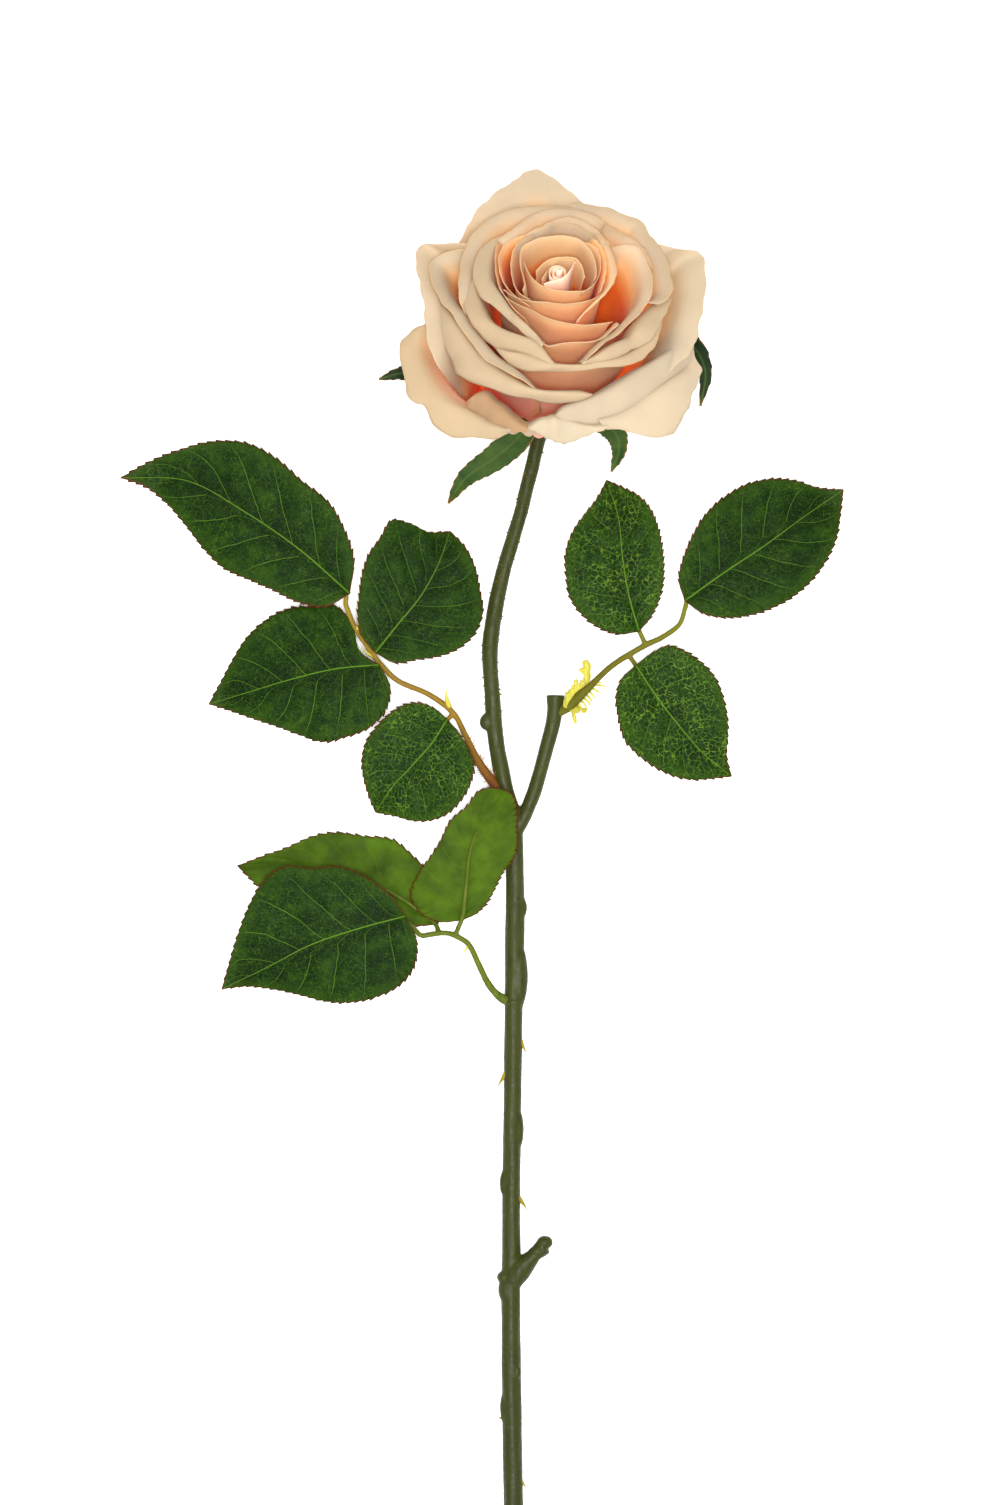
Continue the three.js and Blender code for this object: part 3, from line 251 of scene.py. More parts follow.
# Leaflets: heights of foot and tip, rise of the middle, slopes of the left and right sides, whether
# the underside is up, and in the plan the midrib from foot to tip and the edges beside it
LEAFLETS = [
    {"name": "leaflet_left_1", "ends": (11.4, -4.5), "rise": 4, "slopes": (0.1, 0.16), "turned": False,
     "middle": [(-44.2, 108.7), (-60.9, 123.4), (-79.3, 136.1), (-98.8, 146.6), (-121, 147.7)],
     "left": [(-51.9, 104.7), (-61.1, 105.9), (-69.6, 109.9), (-78.1, 113.6), (-86.4, 117.5), (-93.2, 124),
              (-98.9, 131.4), (-105, 138.5), (-112.2, 144.4)],
     "right": [(-42.9, 119.3), (-46, 129.9), (-51.6, 139.4), (-60.4, 146.4), (-68.9, 153.8), (-78.7, 158.9),
               (-89.8, 159.6), (-100.7, 157), (-111.2, 153)]},
    {"name": "leaflet_left_2", "ends": (13, -2), "rise": 3, "slopes": (0.12, -0.12), "turned": False,
     "middle": [(-34.2, 85), (-48.9, 83.7), (-63.2, 80.4), (-77.4, 76.2), (-91.5, 72)],
     "left": [(-30.8, 77.7), (-32.3, 69.9), (-37.8, 64.1), (-45.3, 61.1), (-53.2, 59.4), (-60.8, 61.6),
              (-68.4, 64.4), (-76.1, 66.9), (-83.8, 69.6)],
     "right": [(-41, 89.8), (-43.3, 97.9), (-48.6, 104.4), (-56.8, 104.5), (-65.1, 103.6), (-72.6, 99.7),
               (-78.8, 94), (-83.4, 86.9), (-87.4, 79.5)]},
    {"name": "leaflet_left_3", "ends": (12.8, 9.5), "rise": 1.5, "slopes": (0.14, 0.1), "turned": False,
     "middle": [(-35.8, 89), (-28.3, 98.4), (-20.7, 107.8), (-14.9, 118.3), (-10.8, 129.7)],
     "left": [(-40.1, 94.5), (-41.5, 101.3), (-41, 108.2), (-40, 115.1), (-37.8, 121.6), (-33.9, 127.4),
              (-30.3, 133), (-23.8, 132), (-17.7, 129.2)],
     "right": [(-29.2, 85.7), (-21.8, 86.8), (-14.4, 87.9), (-7.6, 90.7), (-2.3, 95.9), (0.1, 102.8),
               (-1, 110.2), (-2.5, 117.5), (-5.8, 124.2)]},
    {"name": "leaflet_left_4", "ends": (13.2, 6.5), "rise": 1.5, "slopes": (0.1, 0.12), "turned": False,
     "middle": [(-11.7, 67), (-17.1, 58.7), (-23.7, 51.2), (-30.4, 43.9), (-35.7, 35.7)],
     "left": [(-7.7, 62.2), (-4.7, 56.8), (-2.9, 51), (-4.3, 44.9), (-7.4, 39.7), (-11.9, 35.3),
              (-17.5, 33.2), (-23.7, 33.1), (-29.6, 34.7)],
     "right": [(-15.6, 70.2), (-20.9, 72.3), (-26.7, 71.3), (-31.7, 68.1), (-35.8, 63.7), (-39, 58.8),
               (-40.2, 52.9), (-39.6, 47), (-37.9, 41.2)]},
    {"name": "leaflet_right_1", "ends": (12.2, -2.8), "rise": 4, "slopes": (0.12, 0.12), "turned": False,
     "middle": [(67.3, 106.3), (80.6, 115.8), (94.1, 124.8), (107.2, 134.4), (120.7, 143.7)],
     "left": [(65.4, 113.8), (67.4, 121.7), (70.7, 129.2), (75.2, 136), (81.3, 141.3), (88.5, 145.3),
              (96.5, 147), (104.6, 146.5), (112.5, 144.2)],
     "right": [(73.6, 102.1), (81.6, 100.7), (89.6, 101.7), (97.2, 104.3), (104.2, 108.3), (110.2, 113.7),
               (114.9, 120.3), (118.2, 127.7), (119.6, 135.6)]},
    {"name": "leaflet_right_2", "ends": (13.4, 9), "rise": 2, "slopes": (0.16, 0.12), "turned": False,
     "middle": [(52.2, 96), (48.7, 108.5), (46.6, 121.4), (45.3, 134.3), (41.4, 146.7)],
     "left": [(45.1, 95.2), (38.5, 97.5), (32.9, 102), (29, 107.8), (27.9, 114.9), (27.7, 122),
              (29.8, 128.8), (33.7, 134.7), (38.1, 140.3)],
     "right": [(55.9, 100.6), (58.6, 106.1), (60.1, 112.1), (60.3, 118.3), (59.7, 124.5), (58.5, 130.5),
               (56.3, 136.3), (52.4, 141), (47, 144)]},
    {"name": "leaflet_right_3", "ends": (13.4, 6), "rise": 1.5, "slopes": (0.12, 0.14), "turned": False,
     "middle": [(51, 85), (57.9, 74.7), (65.4, 64.9), (73.6, 55.6), (83.2, 47.8)],
     "left": [(56.3, 88.9), (62.3, 91.4), (68.4, 89), (73.7, 85), (77.9, 80.1), (80.2, 73.9), (81.6, 67.4),
              (81.8, 60.8), (81.5, 54.2)],
     "right": [(46.3, 80.3), (44.5, 73.8), (45.4, 67), (47.2, 60.5), (51.5, 55.3), (57, 51.3), (63, 48.3),
               (69.6, 46.8), (76.4, 47.1)]},
    {"name": "leaflet_low_1", "ends": (13.8, -2), "rise": 4, "slopes": (0.1, 0.14), "turned": False,
     "middle": [(-25.5, 1.3), (-41.6, -3), (-57.4, -8.4), (-72.2, -16.1), (-87.2, -23.3)],
     "left": [(-22, -6.5), (-22.7, -15.1), (-27.9, -21.9), (-35.7, -25.7), (-44.2, -27.5), (-52.8, -27.1),
              (-61.3, -25), (-69.8, -23.3), (-78.5, -22.4)],
     "right": [(-31.4, 8.8), (-39.1, 14.2), (-47.6, 17.7), (-57, 17.1), (-66.3, 17.6), (-73.7, 11.8),
               (-78.3, 3.6), (-81.7, -5.2), (-84.5, -14.2)]},
    {"name": "leaflet_low_2", "ends": (6.6, 1.2), "rise": 0.6, "slopes": (0, 0), "turned": True,
     "middle": [(-14.8, -1.7), (-29.6, 8.6), (-46.3, 15.1), (-64, 17.8), (-82, 17.9)],
     "left": [(-21.9, -2), (-28.8, -0.2), (-35.7, 2), (-42.9, 3.2), (-50.1, 3.9), (-57.3, 4.9),
              (-64.4, 6.2), (-71.2, 8.5), (-76.8, 12.8)],
     "right": [(-14.2, 6.8), (-17.7, 15), (-23.6, 21.5), (-30.7, 26.8), (-39.5, 27.7), (-48.3, 29),
               (-57.1, 27.6), (-65.2, 24), (-73.6, 21.1)]},
    {"name": "leaflet_low_3", "ends": (9.2, 9.8), "rise": 1.5, "slopes": (-0.1, -0.1), "turned": True,
     "middle": [(-6.8, -0.3), (-5.4, 11.3), (-4.1, 22.9), (0, 33.9), (5.8, 44)],
     "left": [(-14, -0.7), (-20.4, 2.4), (-24, 8.2), (-21.5, 14.8), (-17.5, 20.7), (-13.8, 26.8),
              (-10.6, 33.1), (-5.3, 37.7), (-0.8, 43.2)],
     "right": [(-2, 2.1), (1.7, 6), (4.3, 10.8), (6.7, 15.7), (9.9, 20.1), (11.5, 25.3), (11.4, 30.7),
               (11.3, 36.2), (10.3, 41.3)]}]

# Leaf frames: the leaflets they carry, radii by share, and the line of petiole and rachis
LEAF_FRAMES = [
    {"name": "leaf_frame_left", "leaflets": (0, 1, 2, 3),
     "radii": [(0, 1.9), (0.16, 1.5), (0.3, 1), (1, 0.8)],
     "line": [(7, 42.5, 3), (3.2, 46.2, 3.6), (-1.5, 53, 6.2), (-5.5, 61, 8.8), (-9.8, 69, 10.8),
              (-18, 75.2, 11.2), (-28, 79.6, 10.8), (-33.8, 85, 10.4), (-39, 92, 10.2),
              (-43, 98.5, 9.8), (-45.6, 105, 9.7)]},
    {"name": "leaf_frame_right", "leaflets": (4, 5, 6),
     "radii": [(0, 1.3), (0.05, 1.5), (0.13, 2.1), (0.2, 1.8), (0.34, 1.05), (1, 0.8)],
     "line": [(25, 68.6, 5.1), (29, 71.7, 6), (35, 77, 8), (43, 84.6, 10.2), (53.8, 91.3, 11.2),
              (59.5, 94, 11.2), (65.5, 98.3, 10.8), (67.6, 104, 10.6)]},
    {"name": "leaf_frame_low", "leaflets": (7, 8, 9), "radii": [(0, 2), (0.2, 1.2), (0.45, 1), (1, 0.9)],
     "line": [(9.5, -27.5, 3.6), (5.5, -25.6, 4.6), (2, -21.5, 6.4), (-1, -15.5, 8.4),
              (-4.5, -8.4, 9.8), (-9.2, -5.3, 10.4), (-13.2, -4.4, 10.6), (-20.5, -5.4, 11.6)]}]

# Torn edges of the sheath at the foot of the right petiole: level, tilt, outline
STIPULE_TABS = [
    (8.2, 0.14, [
        (34.9, 78.2), (34, 80.5), (33.4, 82.1), (32.2, 82.9), (32, 83.5), (32.8, 84), (33.6, 84.4),
        (33.2, 85.7), (33.6, 86.4), (34.7, 86.8), (35.7, 85.9), (36.3, 84.3), (36, 82.7), (36.2, 81.3),
        (35.8, 79.5), (36.2, 78.2)]),
    (6.6, 0.1, [
        (28.8, 70.4), (29.7, 68.7), (30.1, 66.8), (30.8, 65.3), (31.5, 65.8), (31.3, 67.4), (31.1, 68.8),
        (32.2, 68.9), (32.7, 69.8), (33.6, 68.8), (34.7, 69.3), (35.1, 70.2), (34.4, 70.8), (33.2, 70.7),
        (32.3, 71.3), (30.6, 71.7)]),
    (7.4, 0.12, [
        (27.1, 70.9), (26.9, 72.8), (27.6, 74.3), (27.5, 75.7), (28.4, 76.1), (29, 77.1), (29.6, 76.9),
        (29.7, 78.2), (30.5, 78.4), (30.4, 79.7), (31.1, 80.3), (32, 80), (31.8, 78.7), (32.6, 79),
        (32.6, 80), (33.4, 79.7), (33.6, 80.7), (34.4, 80.1), (35.2, 79.5), (34.7, 77.7), (33.2, 76.9),
        (31.3, 74.9), (29.3, 72.3), (28.2, 70.7)])]
# Teeth of its comb, foot and tip by turns
STIPULE_TEETH = [
    (36.6, 78.2), (41, 77.8), (36.4, 77.1), (39, 75.8), (35.7, 76.1), (37.5, 73.9), (34.9, 74.8),
    (36.5, 72.8), (34, 73.8), (36, 71.7), (33.1, 72.8), (34.7, 71), (37.3, 79), (39.6, 79), (32.1, 71.7),
    (33.2, 70.2)]
TOOTH_LEVEL = 7
TOOTH_RADIUS, TOOTH_TAPER = 0.46, 0.16
# The small stipules: foot, tip, radius, bend, sides and rings
SMALL_STIPULES = [
    ((-11.2, 71, 11), (-11.9, 77.5, 12.6), 1, (-0.5, 0.4, 0.5), 12, 12),
    ((-36, 87.6, 10.2), (-40.8, 91.8, 10.4), 0.8, (-0.5, -0.4, 0.2)),
    ((-42, 96.5, 10), (-40.4, 101.5, 11), 0.7), ((-4.6, -8.6, 9.8), (-7.4, -12.2, 10.4), 0.6)]


# Curves and small helpers

def catmull(points, share):
    """Uniform Catmull-Rom curve through points, at shares 0 to 1 of the way."""
    p = np.asarray(points, float)
    p = np.vstack([2 * p[0] - p[1], p, 2 * p[-1] - p[-2]])
    last = len(points) - 1
    place = np.clip(np.asarray(share, float), 0, 1) * last
    i = np.minimum(place.astype(int), last - 1)
    t = (place - i)[..., None]
    a, b, c, d = p[i], p[i + 1], p[i + 2], p[i + 3]
    return 0.5 * (2 * b + (c - a) * t + (2 * a - 5 * b + 4 * c - d) * t ** 2
                  + (3 * b - a - 3 * c + d) * t ** 3)


def table_value(table, x):
    """Value at x in a table of (x, value) rows."""
    keys, values = zip(*table)
    return np.interp(x, keys, values)


def smoothstep(x, low, high):
    """0 up to low, 1 from high on, and smooth between."""
    t = np.clip((x - low) / (high - low), 0, 1)
    return t * t * (3 - 2 * t)


def unit(vectors):
    """The vectors with length 1."""
    length = np.linalg.norm(vectors, axis=-1, keepdims=True)
    return vectors / np.maximum(length, 1e-9)


def noise_at(points, scale, offset=0.0):
    """Smooth noise, about -1 to 1, with features of the given size in millimetres."""
    shift = Vector((offset, 0.37 * offset, -0.61 * offset))
    flat = np.asarray(points, float).reshape(-1, 3) / scale
    values = [noise.noise(Vector(p) + shift) for p in flat]
    return np.array(values).reshape(np.asarray(points).shape[:-1])


def mesh_piece(name, points, faces, material, slot, nodes=(), channels=None):
    """A smooth mesh in the row frame from points in millimetres, riding on the root body."""
    mesh = bpy.data.meshes.new(name)
    mesh.from_pydata((np.asarray(points, float) * MM).tolist(), [], faces)
    mesh.materials.append(material)
    mesh.shade_smooth()
    for label, values in (channels or {}).items():
        layer = mesh.attributes.new(label, "FLOAT", "POINT")
        layer.data.foreach_set("value", np.asarray(values, np.float32).ravel())
    mesh.update()
    piece = bpy.data.objects.new(name, mesh)
    bpy.context.scene.collection.objects.link(piece)
    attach(piece, "root")
    if nodes:
        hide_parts(*nodes)


def blade(grid, thickness, upright=None):
    """Closed thin blade over a grid of points: points, faces, and 0 or 1 for its two skins."""
    rows, columns = grid.shape[:2]
    if upright is None:
        along = np.gradient(grid, axis=0)
        across = np.gradient(grid, axis=1)
        normal = unit(np.cross(across, along))
    else:
        normal = np.broadcast_to(np.asarray(upright, float), grid.shape)
    half = np.broadcast_to(np.asarray(thickness, float) / 2, (rows, columns))[..., None]
    points = np.concatenate([(grid + normal * half).reshape(-1, 3), (grid - normal * half).reshape(-1, 3)])
    index = np.arange(rows * columns).reshape(rows, columns)
    quads = np.stack([index[:-1, :-1], index[:-1, 1:], index[1:, 1:], index[1:, :-1]], -1).reshape(-1, 4)
    under = quads[:, ::-1] + rows * columns
    rim = np.concatenate([index[0, :-1], index[:-1, -1], index[-1, :0:-1], index[:0:-1, 0]])
    after = np.roll(rim, -1)
    edge = np.stack([rim, rim + rows * columns, after + rows * columns, after], -1)
    skin = np.repeat([0.0, 1.0], rows * columns)
    return points, np.concatenate([quads, under, edge]).tolist(), skin


def ring_faces(index):
    """Faces of a closed tube from point numbers, one row to a ring."""
    after = np.roll(index, -1, axis=1)
    faces = np.stack([index[:-1], after[:-1], after[1:], index[1:]], -1).reshape(-1, 4).tolist()
    return faces + [index[0, ::-1].tolist(), index[-1].tolist()]


def ring_path(path, radius_at, sides, rings, rough=0.0, seed=0.0):
    """Closed round bar along a curve: points and faces. radius_at takes share and centre."""
    share = np.linspace(0, 1, rings + 1)
    centre = catmull(path, share)
    along = unit(np.gradient(centre, axis=0))
    side = unit(np.cross(along, [0.0, 0.0, 1.0]))
    up = np.cross(side, along)
    radius = np.asarray(radius_at(share, centre), float)[:, None]
    angle = 2 * math.pi * (np.arange(sides) + 0.5) / sides
    spoke = side[:, None] * np.cos(angle)[:, None] + up[:, None] * np.sin(angle)[:, None]
    points = centre[:, None] + spoke * radius[..., None]
    if rough:
        points = points + spoke * (rough * noise_at(points, 3.0, seed))[..., None]
    points[..., 2] = np.maximum(points[..., 2], 0.0)
    index = np.arange((rings + 1) * sides).reshape(rings + 1, sides)
    return points.reshape(-1, 3), [face[::-1] for face in ring_faces(index)]


def merged(bodies):
    """Several (points, faces) bodies as one."""
    points, faces, start = [], [], 0
    for body_points, body_faces in bodies:
        points.append(np.asarray(body_points, float))
        faces.extend([[k + start for k in face] for face in body_faces])
        start += len(body_points)
    return np.concatenate(points), faces


def ellipsoid(centre, halves, sides=24, rings=14):
    """Closed ellipsoid: points and faces."""
    polar = np.linspace(0, math.pi, rings + 1)[1:-1]
    turn = 2 * math.pi * np.arange(sides) / sides
    ball = np.stack([np.outer(np.sin(polar), np.cos(turn)), np.outer(np.sin(polar), np.sin(turn)),
                     np.outer(np.cos(polar), np.ones(sides))], -1).reshape(-1, 3)
    points = np.vstack([ball, [0, 0, 1], [0, 0, -1]]) * halves + centre
    index = np.arange((rings - 1) * sides).reshape(rings - 1, sides)
    after = np.roll(index, -1, axis=1)
    faces = np.stack([index[:-1], index[1:], after[1:], after[:-1]], -1).reshape(-1, 4).tolist()
    top, foot = len(ball), len(ball) + 1
    faces += [[top, here, there] for here, there in zip(index[0].tolist(), after[0].tolist())]
    faces += [[foot, there, here] for here, there in zip(index[-1].tolist(), after[-1].tolist())]
    return points, faces


def spike(foot, tip, radius, bend=(0, 0, 0), sides=7, rings=5):
    """Tapered, slightly bent cone."""
    foot, tip = np.asarray(foot, float), np.asarray(tip, float)
    middle = (foot + tip) / 2 + np.asarray(bend, float)

    def taper(share, centre):
        return radius * (1 - share) ** 1.2 + 0.03 * radius

    return ring_path([foot, middle, tip], taper, sides, rings)


def fused(name, bodies, voxel, relax):
    """The union of overlapping closed bodies as one even mesh, points in millimetres."""
    points, faces = merged(bodies)
    mesh = bpy.data.meshes.new(name)
    mesh.from_pydata(points.tolist(), [], faces)
    work = bpy.data.objects.new(name, mesh)
    bpy.context.scene.collection.objects.link(work)
    remesh = work.modifiers.new("remesh", "REMESH")
    remesh.mode = "VOXEL"
    remesh.voxel_size = voxel
    remesh.adaptivity = 0
    even = work.modifiers.new("relax", "SMOOTH")
    even.iterations = relax
    even.factor = 0.5
    view = bpy.context.evaluated_depsgraph_get()
    result = work.evaluated_get(view).to_mesh()
    coordinates = np.zeros(len(result.vertices) * 3)
    result.vertices.foreach_get("co", coordinates)
    polygons = [list(p.vertices) for p in result.polygons]
    work.evaluated_get(view).to_mesh_clear()
    bpy.data.objects.remove(work)
    bpy.data.meshes.remove(mesh)
    return coordinates.reshape(-1, 3), polygons


# Material nodes

def linear(red, green, blue):
    """Colour given as 0 to 255 sRGB."""
    def channel(value):
        value /= 255
        return value / 12.92 if value <= 0.04045 else ((value + 0.055) / 1.055) ** 2.4
    return (channel(red), channel(green), channel(blue), 1)


SHEEN_ROUGHNESS = 0.4


class Nodes:
    """Short calls for building one material's node tree."""

    def __init__(self, name):
        self.material = bpy.data.materials.new(name)
        self.material.use_nodes = True
        self.tree = self.material.node_tree
        self.shader = self.tree.nodes["Principled BSDF"]
        self.output = self.tree.nodes["Material Output"]

    def set(self, socket, value):
        """Links a socket to another, or gives it a number, a vector as a list or an sRGB colour."""
        if isinstance(value, bpy.types.NodeSocket):
            self.tree.links.new(value, socket)
        else:
            socket.default_value = linear(*value) if isinstance(value, tuple) else value

    def add(self, kind, output, sockets, **values):
        """One output of a new node with these sockets and values."""
        node = self.tree.nodes.new("ShaderNode" + kind)
        for key, value in values.items():
            setattr(node, key, value)
        for key, value in sockets.items():
            self.set(node.inputs[key], value)
        return node.outputs[output]

    def attribute(self, name):
        return self.add("Attribute", "Fac", {}, attribute_name=name)

    def math(self, operation, *values):
        return self.add("Math", 0, dict(enumerate(values)), operation=operation)

    def times(self, first, second):
        return self.math("MULTIPLY", first, second)

    def ramp(self, value, stops):
        """Colour ramp; each stop is a place from 0 to 1 and an sRGB colour."""
        colour = self.add("ValToRGB", "Color", {"Fac": value})
        elements = colour.node.color_ramp.elements
        while len(elements) < len(stops):
            elements.new(0.5)
        for element, (place, shade) in zip(elements, stops):
            element.position = place
            element.color = linear(*shade)
        return colour

    def band(self, value, low, high, start=0.0, end=1.0):
        """Smooth step of a value from low to high, mapped to start and end."""
        sockets = {"Value": value, "From Min": low, "From Max": high, "To Min": start, "To Max": end}
        return self.add("MapRange", "Result", sockets, interpolation_type="SMOOTHSTEP")

    def mix(self, factor, first, second, mode="MIX"):
        """Mix of two colours."""
        return self.add("Mix", 2, {0: factor, 6: first, 7: second}, data_type="RGBA", blend_type=mode)

    def place(self):
        """Object coordinates in millimetres."""
        metres = self.add("TexCoord", "Object", {})
        return self.add("VectorMath", 0, {0: metres, "Scale": 1 / MM}, operation="SCALE")

    def axes(self, vector):
        """The three coordinates of a vector."""
        return self.add("SeparateXYZ", 0, {0: vector}).node.outputs[:3]

    def noise(self, vector, size, detail=3.0, rough=0.5):
        """Noise whose features are about size millimetres across."""
        sockets = {"Vector": vector, "Scale": 1 / size, "Detail": detail, "Roughness": rough}
        return self.add("TexNoise", "Fac", sockets)

    def cells(self, vector, size):
        """Distance to the edges of cells that are about size millimetres across."""
        sockets = {"Vector": vector, "Scale": 1 / size}
        return self.add("TexVoronoi", "Distance", sockets, feature="DISTANCE_TO_EDGE")

    def warped(self, vector, size, amount):
        """A vector shifted by noise, so that what reads it isn't straight."""
        shift = self.add("TexNoise", "Color", {"Vector": vector, "Scale": 1 / size})
        return self.add("VectorMath", 0, {0: shift, 1: [amount] * 3, 2: vector}, operation="MULTIPLY_ADD")

    def weave(self, vector, thread):
        """Height of a plain weave over the three axes, threads of that width."""
        waves = [self.math("SINE", self.times(axis, math.pi / thread)) for axis in self.axes(vector)]
        return self.math("ADD", self.times(waves[0], waves[1]), self.times(waves[1], waves[2]))

    def bump(self, height, distance, strength, under=None):
        """Bump of a height given in millimetres, on top of another one."""
        sockets = {"Height": height, "Distance": distance * MM, "Strength": strength}
        if under:
            sockets["Normal"] = under
        return self.add("Bump", "Normal", sockets)

    def finish(self, colour, roughness, specular, normal=None, sheen=0.0, through=0.0,
               through_colour=None):
        """Feeds the shader; through is the share of light that passes the thin cloth."""
        values = {"Base Color": colour, "Roughness": roughness, "Specular IOR Level": specular,
                  "Sheen Weight": sheen, "Sheen Roughness": SHEEN_ROUGHNESS}
        if normal:
            values["Normal"] = normal
        for key, value in values.items():
            self.set(self.shader.inputs[key], value)
        if through:
            thin = self.add("BsdfTranslucent", 0, {"Color": through_colour or colour, "Normal": normal})
            both = self.add("MixShader", 0, {0: through, 1: self.shader.outputs[0], 2: thin})
            self.set(self.output.inputs["Surface"], both)
        return self.material


# Materials

CREAM = (201, 193, 171)
LIGHT = (217, 196, 160)
PEACH = (253, 210, 148)
ORANGE = (255, 178, 102)
DEEP = (255, 132, 50)
PINK = (255, 196, 176)
RED = (255, 146, 120)
RIM = (196, 183, 153)
PETAL_TINT = (244, 204, 158)
PETAL_HEM = (214, 176, 120)
GLOW = (255, 196, 128)  # colour of the light that passes a petal

# Colours of the outer and the inner side of each cloth, by the depth in millimetres below the crest
PETAL_COLOURS = {
    "guard": ([(0, CREAM), (26, CREAM), (38, PINK), (52, RED)],
              [(0, CREAM), (10, CREAM), (15, LIGHT), (21, PEACH), (28, ORANGE), (38, DEEP)]),
    "blush": ([(0, CREAM), (30, CREAM), (42, PINK), (54, RED)],
              [(0, (190, 178, 150)), (3, (214, 186, 158)), (8, (255, 206, 182)), (14, (255, 176, 154)),
               (26, RED)]),
    "tan": ([(0, CREAM), (30, LIGHT)], [(0, (176, 148, 114)), (16, RIM), (30, LIGHT)]),
    "outer": ([(0, CREAM), (8, LIGHT), (20, PEACH), (34, PINK), (46, RED)],
              [(0, RIM), (3, CREAM), (7, LIGHT), (11, PEACH), (15, ORANGE), (22, DEEP)]),
    # wall, outer side: its own pale pink lifted to near white, 3 to 28 mm down, as painted light on the
    # shaded wall
    "wall": ([(0, LIGHT), (3, (255, 222, 190)), (16, (255, 220, 196)), (28, (255, 208, 186)), (42, PINK),
              (54, RED)],
             [(0, RIM), (2, CREAM), (4, LIGHT), (7, PEACH), (11, ORANGE), (19, DEEP)]),
    # cup, outer side: its own peach lifted to near white, 2 to 20 mm down, as painted light on the shaded
    # wall
    "cup": ([(0, LIGHT), (2, (252, 226, 180)), (20, (255, 226, 176)), (34, ORANGE), (46, DEEP)],
            [(0, RIM), (2, CREAM), (6, LIGHT), (10, PEACH), (14, ORANGE), (19, DEEP)]),
    "middle": ([(0, LIGHT), (4, PEACH), (20, (255, 200, 136)), (38, DEEP)],
               [(0, LIGHT), (1.5, PEACH), (4, ORANGE), (9, DEEP)]),
    "front": ([(0, LIGHT), (3, (234, 210, 166)), (10, (238, 212, 164)), (22, (244, 206, 154)), (36, ORANGE),
               (50, DEEP)],
              [(0, CREAM), (4, PEACH), (9, ORANGE), (16, DEEP)]),
    "inner": ([(0, LIGHT), (4, PEACH), (18, (255, 198, 134)), (34, DEEP)],
              [(0, LIGHT), (4, (216, 194, 152)), (8, (232, 194, 142)), (11, (250, 176, 106)), (15, DEEP)]),
    "white": ([(0, (255, 250, 244)), (9, (255, 242, 228)), (18, PEACH), (28, ORANGE)],
              [(0, (250, 232, 212)), (3, PEACH), (7, DEEP)])}
CLAW_DEPTH = 60  # depth at the last stop of a ramp
PETAL_THROUGH = 0.55  # share of the light that passes a petal
GLOW_SHARE = 0.28  # how far its colour goes to GLOW
PETAL_THREAD = 0.17  # width of the threads of the weave
LEAF_THREAD = 0.24


def petal_cloth(name, outside, inside):
    """Woven petal cloth, dyed by the depth below the crest; on the outer side of the wall and cup cloths
    the colour is also lifted as painted light.
    """
    tree = Nodes(name)
    place = tree.place()
    drift = tree.math("MULTIPLY_ADD", tree.noise(place, 9, 2), 3.6, -1.8)
    where = tree.math("DIVIDE", tree.math("ADD", tree.attribute("depth"), drift), CLAW_DEPTH)
    skins = [tree.ramp(where, [(at / CLAW_DEPTH, shade) for at, shade in stops])
             for stops in (outside, inside)]
    colour = tree.mix(tree.attribute("inner"), *skins)
    colour = tree.mix(tree.attribute("tint"), colour, PETAL_TINT, "MULTIPLY")
    blotch = tree.band(tree.noise(place, 16, 3), 0.3, 0.7, 0.94, 1.0)
    slub = tree.band(tree.noise(tree.warped(place, 2, 1.5), 0.5, 4, 0.6), 0.2, 0.8, 0.97, 1.0)
    tone = tree.times(blotch, slub)
    colour = tree.mix(1.0, colour, tree.ramp(tone, [(0, (0, 0, 0)), (1, (255, 255, 255))]), "MULTIPLY")
    edge = tree.band(tree.attribute("rim"), 0.0, 0.5, 0.25, 0.0)
    colour = tree.mix(edge, colour, PETAL_HEM)
    soft = tree.bump(tree.noise(place, 5, 3), 0.5, 0.35)
    normal = tree.bump(tree.weave(place, PETAL_THREAD), 0.02, 0.5, soft)
    glow = tree.mix(GLOW_SHARE, colour, GLOW)
    return tree.finish(colour, 0.72, 0.15, normal, sheen=0.12, through=PETAL_THROUGH, through_colour=glow)


LEAF_DARK = (4, 16, 3)
LEAF_MID = (12, 32, 3)
LEAF_LIGHT = (32, 54, 6)
LEAF_VEIN = (72, 106, 24)
LEAF_EDGE = (70, 26, 16)
BACK_DARK = (38, 56, 5)
BACK_MID = (59, 83, 8)
BACK_VEIN = (78, 94, 26)
LEAF_SPECK = (44, 76, 18)
LEAF_FINE_NET = (46, 80, 20)
LEAF_NET = (96, 126, 36)
LEAF_GLOW = (50, 90, 6)


